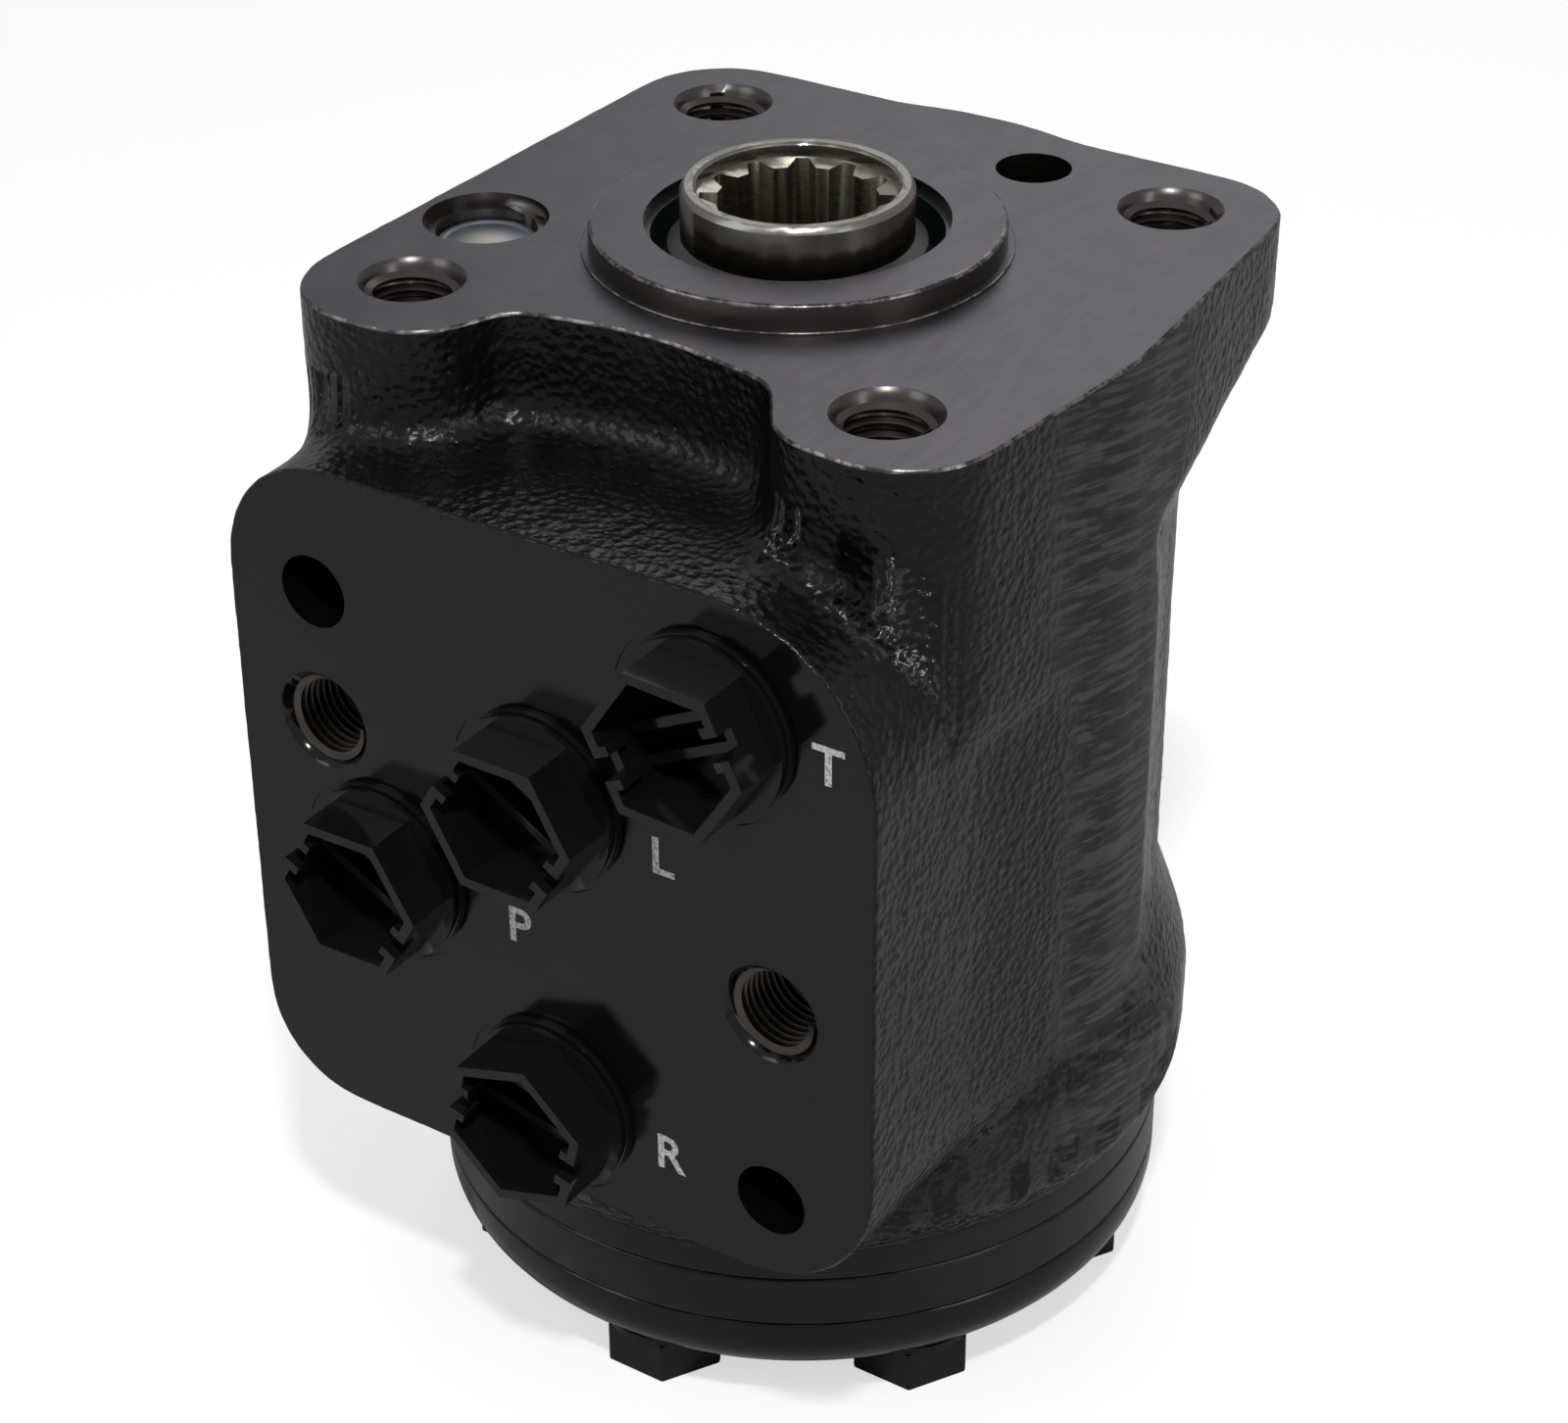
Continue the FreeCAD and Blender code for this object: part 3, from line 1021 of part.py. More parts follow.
def washer(name, cosine, sine):
    """Flat washer under a screw head."""
    x, y = f"dims.screw_circle * {cosine}", f"dims.screw_circle * {sine}"
    disc = cylinder(name + "_disc", "dims.washer_radius", "dims.washer_height", x, y, f"-{HEAD_TOP}")
    hole = cylinder(name + "_hole", "dims.screw_hole_radius", "dims.washer_height", x, y, f"-{HEAD_TOP}")
    return cut(name, disc, [hole])


keep(group("washers", around("washer", washer, LOBES, "dims.first_screw_angle")), "screw_washers")


def screw(name, x, y, reach, extra=()):
    """Hexagon screw that points up, with its head under the washers."""
    head = prism(name + "_head", "dims.screw_head_radius", "dims.screw_head_height", x, y,
                 f"-{HEAD_TOP} - dims.screw_head_height")
    shank = cylinder(name + "_shank", "dims.screw_radius - dims.running_gap", reach, x, y, f"-{HEAD_TOP}")
    return together(name, [head, shank, *extra])


CLAMPED = "(dims.plate_height + dims.gear_height + dims.cover_height + dims.washer_height)"
all_screws = []
for k in range(LOBES):
    angle = f"(dims.first_screw_angle + {k * SCREW_STEP:.6f})"
    x, y = f"dims.screw_circle * cos{angle}", f"dims.screw_circle * sin{angle}"
    if k == CHECK_SCREW:
        stop = cylinder("stop_pin", "dims.stop_pin_radius",
                        f"{HEAD_TOP} - dims.ball_depth - dims.ball_radius", x, y, f"-{HEAD_TOP}")
        keep(screw("special_screw", x, y, f"{CLAMPED} + dims.bush_height", [stop]), "check_valve_screw")
    else:
        all_screws.append(screw(f"screw_{k}", x, y, f"{CLAMPED} + dims.screw_thread_length"))
keep(group("screws", all_screws), "cover_screws")
bush_body = cylinder("bush_body", "dims.bush_radius", "dims.bush_height", check_x, check_y, f"-{PLATE_TOP}")
bush_hole = cylinder("bush_hole", "dims.screw_radius", "dims.bush_height", check_x, check_y, f"-{PLATE_TOP}")
keep(cut("bush_cut", bush_body, [bush_hole]), "check_bush")
ball = doc.addObject("Part::Sphere", "ball")
bind(ball, Radius="dims.ball_radius")
keep(place(ball, check_x, check_y, "-dims.ball_depth"), "check_ball")

for name, face in (("housing", PLATE_TOP), ("plate", GEAR_TOP), ("ring", COVER_TOP)):
    seal = doc.addObject("Part::Torus", f"{name}_seal")
    bind(seal, Radius1="dims.o_ring_circle", Radius2="dims.o_ring_radius")
    keep(place(seal, z=f"-{face} + dims.o_ring_radius"), f"{name}_o_ring")

# Port plugs, drawn upright on their spot face, then turned to face out of the port

HEX = "(dims.plug_cap_width / sqrt(3))"
CAP_TOP = "(dims.plug_cap_height + dims.spot_face_depth)"
hollow_flat = "(dims.plug_cap_width / 2 - dims.plug_cap_wall)"


FLAT_TO_CORNER = 30  # degrees from a flat of the hexagon to its corner


def port_plug(port, spin):
    """Moulded transport plug: threaded shank, lipped flange, hollow hexagon with a driver slot."""
    name = f"plug_{port}"
    outer = together(name + "_outer", [
        cylinder(name + "_shank", "dims.port_thread_radius - dims.window_gap", "dims.plug_shank_length",
                 z="-dims.plug_shank_length"),
        cylinder(name + "_lip", "dims.plug_flange_radius", "dims.plug_lip_height"),
        cylinder(name + "_waist", "dims.plug_flange_radius - dims.plug_lip_depth", "dims.plug_flange_height"),
        cylinder(name + "_upper_lip", "dims.plug_flange_radius", "dims.plug_lip_height",
                 z="dims.plug_flange_height - dims.plug_lip_height"),
        prism(name + "_hex", HEX, CAP_TOP),
    ])
    hollow = prism(name + "_hollow", f"{hollow_flat} * 2 / sqrt(3)", "dims.plug_cap_depth + 1",
                   z=f"{CAP_TOP} - dims.plug_cap_depth")
    shell = cut(name + "_shell", outer, [hollow])
    webs = []
    for side, y in (("near", "-dims.plug_slot / 2 - dims.plug_cap_wall"), ("far", "dims.plug_slot / 2")):
        webs.append(block(f"{name}_web_{side}", f"2 * {hollow_flat} + dims.plug_cap_wall",
                          "dims.plug_cap_wall",
                          "dims.plug_cap_depth - dims.plug_web_drop + dims.plug_web_root",
                          f"-{hollow_flat} - dims.plug_cap_wall / 2", y,
                          f"{CAP_TOP} - dims.plug_cap_depth - dims.plug_web_root"))
    notch = block(name + "_notch", "4 * dims.plug_cap_width", "dims.plug_slot", "dims.plug_slot_depth + 1",
                  "-2 * dims.plug_cap_width", "-dims.plug_slot / 2", f"{CAP_TOP} - dims.plug_slot_depth")
    across = together(name + "_webs", webs)
    for piece in (across, notch):
        turn = Rotation(Vector(0, 0, 1), FLAT_TO_CORNER)
        at = piece.Placement.Base
        piece.setExpression("Placement.Base.x", None)
        piece.setExpression("Placement.Base.y", None)
        piece.Placement = Placement(turn.multVec(Vector(at.x, at.y, 0)) + Vector(0, 0, at.z), turn)
    joined = together(name + "_joined", [shell, across])
    whole = cut(name + "_whole", joined, [notch])
    x, depth = PORTS[port]
    outwards = Rotation(Vector(1, 0, 0), 90) * Rotation(Vector(0, 0, 1), spin)
    place(whole, x, f"{FACE_Y} + dims.spot_face_depth", f"-{depth}", outwards)
    return keep(whole, f"port_plug_{port}")


# Degrees by which each plug stands turned in its port
PLUG_SPINS = {"t": -3.1, "l": 119.7, "p": 121.4, "r": 137.2}
for port, spin in PLUG_SPINS.items():
    port_plug(port, spin)

doc.recompute()

os.makedirs("parts", exist_ok=True)
for item in doc.Objects:
    if "Invalid" in item.State or "Error" in item.State:
        raise RuntimeError(f"{item.Label} did not build")
for label, piece in PARTS.items():
    shape = piece.Shape
    if shape.isNull() or not shape.isValid():
        raise RuntimeError(f"{label} has no valid shape")
for label, piece in PARTS.items():
    piece.Shape.exportStep(f"parts/{label}.step")
    print(label, len(piece.Shape.Solids), round(piece.Shape.Volume, 1))
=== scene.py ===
# %% [markdown]
# An orbital steering unit, dressed for a product picture. The solid model gives every part its exact
# place, so this script only adds what solids can't carry: cast and machined surfaces, moulded plugs,
# threads, marks, lamps and a camera. It begins by loading that model and keeping its box, because the
# finished picture must not make the object any larger. It begins by loading that model and keeping its
# box, whose lowest point sets the level of the floor.

import json
import math

import bpy
from mathutils import Euler, Matrix, Vector

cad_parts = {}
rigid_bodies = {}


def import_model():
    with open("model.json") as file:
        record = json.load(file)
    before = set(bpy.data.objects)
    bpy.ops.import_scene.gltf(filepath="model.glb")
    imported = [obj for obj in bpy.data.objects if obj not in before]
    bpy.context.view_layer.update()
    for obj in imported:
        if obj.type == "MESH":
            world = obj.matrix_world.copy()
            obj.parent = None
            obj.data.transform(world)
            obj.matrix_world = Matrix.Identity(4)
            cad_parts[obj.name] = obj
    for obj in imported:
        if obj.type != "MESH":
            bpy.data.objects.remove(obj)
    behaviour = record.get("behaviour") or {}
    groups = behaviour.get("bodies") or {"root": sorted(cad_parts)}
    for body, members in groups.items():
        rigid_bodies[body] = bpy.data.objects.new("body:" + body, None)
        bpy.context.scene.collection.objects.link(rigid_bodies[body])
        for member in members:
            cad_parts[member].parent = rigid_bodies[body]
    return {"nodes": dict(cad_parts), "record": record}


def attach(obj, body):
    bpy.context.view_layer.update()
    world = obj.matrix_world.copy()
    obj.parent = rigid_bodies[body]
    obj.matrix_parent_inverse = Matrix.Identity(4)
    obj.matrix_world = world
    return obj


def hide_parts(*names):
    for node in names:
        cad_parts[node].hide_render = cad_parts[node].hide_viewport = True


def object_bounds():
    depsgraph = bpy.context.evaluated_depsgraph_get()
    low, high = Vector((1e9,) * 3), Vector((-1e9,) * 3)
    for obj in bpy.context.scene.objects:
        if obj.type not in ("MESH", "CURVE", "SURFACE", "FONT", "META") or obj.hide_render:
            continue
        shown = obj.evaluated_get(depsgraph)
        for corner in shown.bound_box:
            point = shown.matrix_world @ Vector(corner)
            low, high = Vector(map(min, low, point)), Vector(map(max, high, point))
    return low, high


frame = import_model()
nodes = frame["nodes"]
solid_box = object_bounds()
MM = 0.001
print("solids", len(nodes), "box", [[round(v / MM, 1) for v in corner] for corner in solid_box])

# %% [markdown]
# The camera stands where the photographer stood: in front, to the right and above, with the top flange
# seen at about thirty degrees. Three directions make its matrix: to its right, up, and back towards it.
# Building these by hand keeps the lens level with the small tilt that the picture has. The focal length
# is long, so the object's upright edges stay nearly parallel.

# %% Camera
AZIMUTH, ELEVATION, ROLL = math.radians(34.68), math.radians(31.15), math.radians(-1.04)
CAMERA_PLACE = Vector((188.936, -291.404, 153.683)) * MM
back = Vector((math.sin(AZIMUTH) * math.cos(ELEVATION), -math.cos(AZIMUTH) * math.cos(ELEVATION),
               math.sin(ELEVATION)))
level_right = Vector((math.cos(AZIMUTH), math.sin(AZIMUTH), 0))
level_up = back.cross(level_right)
right = math.cos(ROLL) * level_right + math.sin(ROLL) * level_up
up = math.cos(ROLL) * level_up - math.sin(ROLL) * level_right
lens = bpy.data.cameras.new("product_camera")
lens.sensor_fit = "HORIZONTAL"
lens.sensor_width = 36
lens.lens = 81.26
lens.shift_x = 0.04856
lens.shift_y = -0.00975
lens.clip_start = 0.01
camera = bpy.data.objects.new("product_camera", lens)
camera.matrix_world = Matrix((
    (right.x, up.x, back.x, CAMERA_PLACE.x),
    (right.y, up.y, back.y, CAMERA_PLACE.y),
    (right.z, up.z, back.z, CAMERA_PLACE.z),
    (0, 0, 0, 1)))
bpy.context.scene.collection.objects.link(camera)
bpy.context.scene.camera = camera
bpy.context.scene.view_settings.view_transform = "Standard"
print("camera", [round(v / MM) for v in CAMERA_PLACE], "mm from the origin, lens", lens.lens, "mm")

# %% [markdown]
# Shader nodes are easier to read as sums than as boxes and wires. This class wraps one socket, so that
# an expression such as (height - 2) * mask adds the Math nodes it needs. Bench stands for the node tree
# that they are added to, and gives every other node through one method.

# %% Sockets as Python values
class Wire:
    """A socket's value, used in expressions."""

    def __init__(self, bench, socket):
        self.bench, self.socket = bench, socket

    def maths(self, operation, first, second):
        """Math node on two values, each a wire or a number."""
        return self.bench.node("ShaderNodeMath", {"operation": operation}, {0: first, 1: second})

    def __add__(self, other):
        return self.maths("ADD", self, other)

    def __radd__(self, other):
        return self.maths("ADD", other, self)

    def __sub__(self, other):
        return self.maths("SUBTRACT", self, other)

    def __rsub__(self, other):
        return self.maths("SUBTRACT", other, self)

    def __mul__(self, other):
        return self.maths("MULTIPLY", self, other)

    def __rmul__(self, other):
        return self.maths("MULTIPLY", other, self)

    def __truediv__(self, other):
        return self.maths("DIVIDE", self, other)

    def __pow__(self, other):
        return self.maths("POWER", self, other)

    def fade(self, low, high):
        """0 below low, 1 above high and smooth between."""
        return self.bench.node("ShaderNodeMapRange", {"interpolation_type": "SMOOTHSTEP"}, {
            "Value": self, "From Min": low, "From Max": high})


class Bench:
    """A node tree in which one shader is fed."""

    def __init__(self, tree, shader):
        self.tree, self.shader = tree, tree.nodes[shader]

    def node(self, kind, settings, sockets, output=0):
        """Add a node, set it, fill or link its sockets and give one output, or the node for None."""
        made = self.tree.nodes.new(kind)
        for key, value in settings.items():
            setattr(made, key, value)
        for key, value in sockets.items():
            if isinstance(value, Wire):
                self.tree.links.new(value.socket, made.inputs[key])
            else:
                made.inputs[key].default_value = value
        return made if output is None else Wire(self, made.outputs[output])

    def feed(self, name, value):
        """Set an input of the shader, or link it."""
        if isinstance(value, Wire):
            self.tree.links.new(value.socket, self.shader.inputs[name])
        else:
            self.shader.inputs[name].default_value = value


# %% [markdown]
# Finish is a bench for one material. It knows the place on the object, so a pattern keeps its real size in
# millimetres, and it has a short name for each thing that the finishes below are made of: soft noise,
# cells, blends of two colours, and relief.

# %% Finishes
class Finish(Bench):
    """A material that is being made."""

    def __init__(self, name, colour, roughness, metallic=0.0):
        self.material = bpy.data.materials.new(name)
        self.material.use_nodes = True
        super().__init__(self.material.node_tree, "Principled BSDF")
        self.feed("Base Color", (*colour, 1))
        self.feed("Roughness", roughness)
        self.feed("Metallic", metallic)
        self.material.diffuse_color = (*colour, 1)
        self.place = self.node("ShaderNodeTexCoord", {}, {}, "Object")
        spread = self.node("ShaderNodeSeparateXYZ", {}, {0: self.place}, None)
        self.x, self.y, self.z = (Wire(self, spread.outputs[i]) for i in range(3))

    def steps(self, size_mm, stretch=(1, 1, 1)):
        """Place on the object, counted in steps of this many millimetres, longer along some axes."""
        return self.node("ShaderNodeMapping", {}, {
            "Vector": self.place, "Scale": tuple(1 / (size_mm * MM * s) for s in stretch)})

    def noise(self, size_mm, detail, rough, stretch=(1, 1, 1)):
        """Soft noise whose blobs are about this many millimetres across."""
        return self.node("ShaderNodeTexNoise", {}, {
            "Vector": self.steps(size_mm, stretch), "Scale": 1.0, "Detail": detail, "Roughness": rough})

    def cells(self, size_mm, blend=0.0):
        """Distance from the middle of cells of about this size, with borders blended into each other."""
        sockets = {"Vector": self.steps(size_mm), "Scale": 1.0}
        if not blend:
            return self.node("ShaderNodeTexVoronoi", {"feature": "F1"}, sockets, "Distance")
        sockets["Smoothness"] = blend
        return self.node("ShaderNodeTexVoronoi", {"feature": "SMOOTH_F1"}, sockets, "Distance")

    def mix(self, share, first, second):
        """Blend of two colours, each a wire or red, green and blue."""
        first, second = [(*shade, 1) if isinstance(shade, tuple) else shade for shade in (first, second)]
        colour_output = 2
        return self.node("ShaderNodeMix", {"data_type": "RGBA"}, {
            "Factor": share, "A": first, "B": second}, colour_output)

    def relief(self, height, depth_mm, strength):
        """Bump of this depth."""
        return self.node("ShaderNodeBump", {}, {
            "Height": height, "Strength": strength, "Distance": depth_mm * MM}, "Normal")


# %% [markdown]
# The light is a plain studio of four soft lamps. A large one high behind the object lights the flange and
# draws the bright rims, a broad one on the camera's left shapes the port face, and a tall one on the right
# grazes the ground cheek. A small one above the camera puts the glints on the pebbled paint. Black gloss
# shows mostly what it mirrors, so the size and place of the lamps matter more than their strength.

# %% Lamps
def soft_lamp(name, place_mm, target_mm, size_mm, watts):
    """Rectangular lamp that faces its target."""
    lamp = bpy.data.lights.new(name, "AREA")
    lamp.shape = "RECTANGLE"
    lamp.size, lamp.size_y = size_mm[0] * MM, size_mm[1] * MM
    lamp.energy = watts
    holder = bpy.data.objects.new(name, lamp)
    holder.location = Vector(place_mm) * MM
    aim = (Vector(target_mm) - Vector(place_mm)).to_track_quat("-Z", "Y")
    holder.rotation_euler = aim.to_euler()
    bpy.context.scene.collection.objects.link(holder)
    print(name, watts, "W")


soft_lamp("lamp_back", (-230, 620, 520), (0, 0, -20), (460, 420), 0.9)
soft_lamp("lamp_front_left", (-420, -620, 520), (0, 0, -50), (380, 420), 1.1)
soft_lamp("lamp_right", (640, -60, 260), (0, 0, -50), (160, 520), 0.6)
soft_lamp("lamp_small_front", (270, -390, 640), (0, 0, -20), (46, 46), 3.2)

# %% [markdown]
# Round the object is a plain pale room. The camera sees it pure white, as on a product picture. The
# object itself is lit by much less of it, and mirrors only a little more, because black gloss under an
# all-white room would turn grey.

# %% Room
ROOM_LIGHT = 0.28
MIRRORED_SHARE = 0.2
world = bpy.data.worlds.new("studio")
bpy.context.scene.world = world
world.use_nodes = True
room = Bench(world.node_tree, "Background")
room.feed("Color", (1, 1, 1, 1))
rays = room.node("ShaderNodeLightPath", {}, {}, None)
direct, through, mirrored = (Wire(room, rays.outputs[f"Is {kind} Ray"])
                             for kind in ("Camera", "Transmission", "Glossy"))
seen = direct + through + mirrored * MIRRORED_SHARE
room.feed("Strength", room.node("ShaderNodeMapRange", {}, {
    "Value": seen, "To Min": ROOM_LIGHT, "To Max": 1.0}))
print("room light", ROOM_LIGHT, "of white")

# %% [markdown]
# The floor is a wide white sheet under the screw heads. It is a plain diffuse surface with a little of
# its own light towards the camera, so that it stays white while the object's soft shadow still shows.

# %% Floor
FLOOR_GLOW = 0.62
FLOOR_GAP = 0.02
floor_level = solid_box[0][2] - FLOOR_GAP * MM
bpy.ops.object.select_all(action="DESELECT")
bpy.ops.mesh.primitive_plane_add(size=4, location=(0, 0, floor_level))
floor = bpy.context.object
floor.name = "floor"
paper = Finish("white_floor", (0.57, 0.57, 0.57), 0.9)
paper.feed("Specular IOR Level", 0.0)
towards_camera = paper.node("ShaderNodeLightPath", {}, {}, "Is Camera Ray")
paper.feed("Emission Strength", FLOOR_GLOW)
paper.feed("Emission Color", paper.mix(towards_camera, (0, 0, 0), (1, 1, 1)))
floor.data.materials.append(paper.material)
print("floor at", round(floor_level / MM, 2), "mm")

# %% [markdown]
# The casting is grey iron under thick black gloss paint. Sand leaves a pebbly skin on it, one to two
# millimetres from crest to crest, and the paint fills the hollows, so the crests glitter. Smooth cells
# give the pebbles, a slower noise makes them uneven, and small round pits break the surface. Behind the
# port block the right cheek was ground flat, which left slanting streaks under the paint.

# %% Cast, painted iron
CHEEK_X, BLOCK_BACK = (42.6, 43.4), (-33, -27)
PEBBLE, GRAIN, SWELL, PIT, STREAK = 1.05, 0.5, 6.0, 2.1, 0.8


def painted_iron(name, tone):
    """Black gloss, as dark as its tone, over pebbles and over the ground cheek."""
    paint = Finish(name, (tone, tone, tone * 1.15), 0.3)
    paint.feed("Specular IOR Level", 0.29)
    facing = paint.node("ShaderNodeNewGeometry", {}, {}, "True Normal")
    side = paint.node("ShaderNodeSeparateXYZ", {}, {0: facing}, 0)
    ground = side.fade(0.9, 0.98) * (paint.x / MM).fade(*CHEEK_X) * (paint.y / MM).fade(*BLOCK_BACK)
    pebbles = paint.cells(PEBBLE, blend=0.4)
    grains = paint.noise(GRAIN, 4.0, 0.6)
    swell = paint.noise(SWELL, 2.0, 0.5)
    pits = paint.cells(PIT).fade(0.02, 0.24)
    leaning = paint.node("ShaderNodeCombineXYZ", {}, {
        "X": paint.x, "Y": paint.y * 0.05, "Z": paint.z + paint.y * 0.2})
    streaks = paint.node("ShaderNodeTexNoise", {}, {
        "Vector": leaning, "Scale": 1 / (STREAK * MM), "Detail": 4.0, "Roughness": 0.6})
    skin = pebbles * 0.9 + grains * 0.35 + swell * 0.9 + pits * 0.6
    paint.feed("Normal", paint.relief(skin * (1 - ground) + streaks * ground * 0.5, 0.26, 0.8))
    paint.feed("Roughness", grains * 0.16 + ground * 0.25 + 0.09)
    dark = paint.mix(swell.fade(0.35, 0.7),
                     (tone * 0.8, tone * 0.8, tone * 0.9), (tone * 1.4, tone * 1.4, tone * 1.55))
    rubbed = paint.mix(streaks.fade(0.45, 0.6), (tone, tone, tone * 1.1), (tone * 13, tone * 13, tone * 14))
    paint.feed("Base Color", paint.mix(ground, dark, rubbed))
    return paint.material


casting_paint = painted_iron("casting_black_gloss", 0.0035)
print("casting finish", casting_paint.name)

# %% [markdown]
# The other parts are steel, plastic and rubber. None is quite even: turning, moulding and handling leave
# small changes of gloss, height and shade. One function makes them all from a colour, a roughness and a
# grain, and the record's material slots say which part has which.

# %% Metals, plastic and rubber for the carried-over parts
def plain(name, colour, roughness, metallic=0.0, grain=0.04):
    """A finish with a little unevenness in gloss, height and shade."""
    made = Finish(name, colour, roughness, metallic)
    mottling = made.noise(0.6, 4.0, 0.6)
    darker = tuple(c * 0.85 for c in colour)
    lighter = tuple(c * 1.15 for c in colour)
    made.feed("Roughness", mottling * grain * 2 + (roughness - grain))
    made.feed("Normal", made.relief(mottling, 0.01, 0.5))
    made.feed("Base Color", made.mix(mottling, darker, lighter))
    return made.material


polished_steel = plain("polished_steel", (0.2, 0.19, 0.178), 0.3, 1.0, grain=0.06)
bearing_steel = plain("bearing_steel", (0.6, 0.6, 0.62), 0.15, 1.0)
spring_steel = plain("spring_steel", (0.2, 0.2, 0.24), 0.35, 1.0)
screw_black = plain("screw_black_oxide", (0.018, 0.018, 0.02), 0.35, 0.6)
ring_satin = plain("drum_ring_satin_black", (0.006, 0.006, 0.007), 0.3)
cover_gloss = plain("cover_gloss_black", (0.004, 0.004, 0.005), 0.14)
plug_plastic = plain("plug_gloss_plastic", (0.007, 0.007, 0.0075), 0.13)
rubber = plain("seal_rubber", (0.026, 0.026, 0.027), 0.42)
zinc = plain("zinc_plate", (0.3, 0.33, 0.38), 0.35, 0.9)
seal_case_tin = plain("seal_case_green_tin", (0.045, 0.06, 0.054), 0.32, 0.8)
cage_plastic = plain("cage_plastic", (0.5, 0.45, 0.35), 0.5)
for black in (ring_satin, cover_gloss, plug_plastic):
    black.node_tree.nodes["Principled BSDF"].inputs["Specular IOR Level"].default_value = 0.35
FINISHES = {
    "polished_steel": polished_steel, "bearing_steel": bearing_steel, "spring_steel": spring_steel,
    "screw_steel": screw_black, "black_ring": ring_satin, "black_cover": cover_gloss, "zinc": zinc,
    "black_plastic": plug_plastic, "black_rubber": rubber, "cage_plastic": cage_plastic,
    "black_casting": casting_paint,
}
for part in frame["record"]["subparts"]:
    carried = nodes[part["node"]]
    carried.data.materials.clear()
    carried.data.materials.append(FINISHES[part["material_slot"]])
nodes["dust_seal_case"].data.materials[0] = seal_case_tin
print("carried-over parts finished:", len(nodes))

# %% [markdown]
# The real housing is poured in sand and then machined only where something fits: the flange face, the
# port face, the lower face, the bores and the tapped holes. The picture is made in the same order, so it
# needs to know where all of these are. A place on the port face is an x and a height, and a place on the
# flange is an x and a y, all in millimetres from the middle of the flange face.

# %% Where the casting is machined
FACE_Y = -49.45
LOWER_FACE = -102.1
BOLT_CIRCLE = 82.5
BOLT = BOLT_CIRCLE / 2 / math.sqrt(2)
PORT_BORE, PORT_SPOT = 9.0, 11.0
MOUTH = 5.8
PORTS = {"T": (21.0, -27.7), "L": (0.0, -43.5), "P": (-21.0, -59.7), "R": (0.0, -82.5)}
COLUMN_HOLES = [(sx * BOLT, sy * BOLT) for sx in (-1, 1) for sy in (-1, 1)]
BLOCK_PLAIN = [(-28.4, -27.7), (28.4, -83.7)]
BLOCK_TAPPED = [(-28.4, -43.5), (28.4, -59.7)]
SCREW_CIRCLE = 33.0
CHANNEL_HOLE = (11.1, math.sqrt(SCREW_CIRCLE ** 2 - 11.1 ** 2))
PLUG_HOLE = (-32.3, -12.3)
print("column bolts at", round(BOLT, 2), "mm, port face at", FACE_Y, "mm, ports", len(PORTS))

# %% [markdown]
# In a window, pieces and faces are picked with the mouse. A script picks a piece by making it the only
# selected one, and faces by a test of their place and direction. Old picks are cleared first, because
# an operator acts on all that is selected.

# %% Picking pieces and faces
def alone(piece):
    """Leave edit mode, and select and activate this piece only."""
    if bpy.context.object and bpy.context.object.mode != "OBJECT":
        bpy.ops.object.mode_set(mode="OBJECT")
    bpy.ops.object.select_all(action="DESELECT")
    piece.select_set(True)
    bpy.context.view_layer.objects.active = piece


def pick_faces(piece, wanted):
    """Select, in edit mode, the faces whose middle (in millimetres) and normal pass the test."""
    alone(piece)
    mesh = piece.data
    for vertex in mesh.vertices:
        vertex.select = False
    for edge in mesh.edges:
        edge.select = False
    chosen = 0
    for face in mesh.polygons:
        face.select = bool(wanted(face.center / MM, face.normal))
        chosen += face.select
    bpy.ops.object.mode_set(mode="EDIT")
    bpy.ops.mesh.select_mode(type="FACE")
    return chosen


def near(a, b, spots, reach):
    """Whether a point lies within reach of one of the spots."""
    return any(math.hypot(a - p, b - q) < reach for p, q in spots)


# %% [markdown]
# A copy of the solid's skin loses its machined faces, is closed again over their holes, remeshed into even
# small faces and smoothed, which rounds every edge as a mould does. The machined faces are cut afterwards,
# so they stay crisp.

# %% Copy the outer skin and take its machined faces off
def machined(c, normal):
    """Faces of the solid that aren't cast skin."""
    off_axis = math.hypot(c.x, c.y)
    return (c.z > -0.01 or c.z < LOWER_FACE + 0.01 or off_axis < 26
            or c.y < FACE_Y + 0.2 and (normal.y < -0.9 or near(c.x, c.z, PORTS.values(), PORT_SPOT + 0.2))
            or c.y < -15 and near(c.x, c.z, PORTS.values(), PORT_BORE + 0.3)
            or c.y < -33 and near(c.x, c.z, BLOCK_PLAIN + BLOCK_TAPPED, MOUTH + 0.15)
            or c.z > -17.05 and near(c.x, c.y, COLUMN_HOLES, 4.3)
            or c.z > -1.7 and near(c.x, c.y, COLUMN_HOLES, MOUTH + 0.15)
            or c.z > -26 and near(c.x, c.y, [CHANNEL_HOLE], 4.6)
            or c.z > -9 and near(c.x, c.y, [PLUG_HOLE], 7.2)
            or c.z < -56 and off_axis < 40.9)


casting = bpy.data.objects.new("casting", nodes["housing"].data.copy())
bpy.context.scene.collection.objects.link(casting)
alone(casting)
bpy.ops.object.mode_set(mode="EDIT")
bpy.ops.mesh.select_all(action="SELECT")
bpy.ops.mesh.remove_doubles(threshold=0.001 * MM)
bpy.ops.object.mode_set(mode="OBJECT")
print("machined faces", pick_faces(casting, machined))
bpy.ops.mesh.delete(type="FACE")

# %% [markdown]
# Without its machined faces the skin is open at the flange, the port face and the bottom. Each open rim is
# extruded three millimetres past its plane and capped there. The rounding of the next step then happens
# beyond the plane, and the milling takes it off.

# %% Stretch the three open rims past the machined planes and close them
SPARE = 3


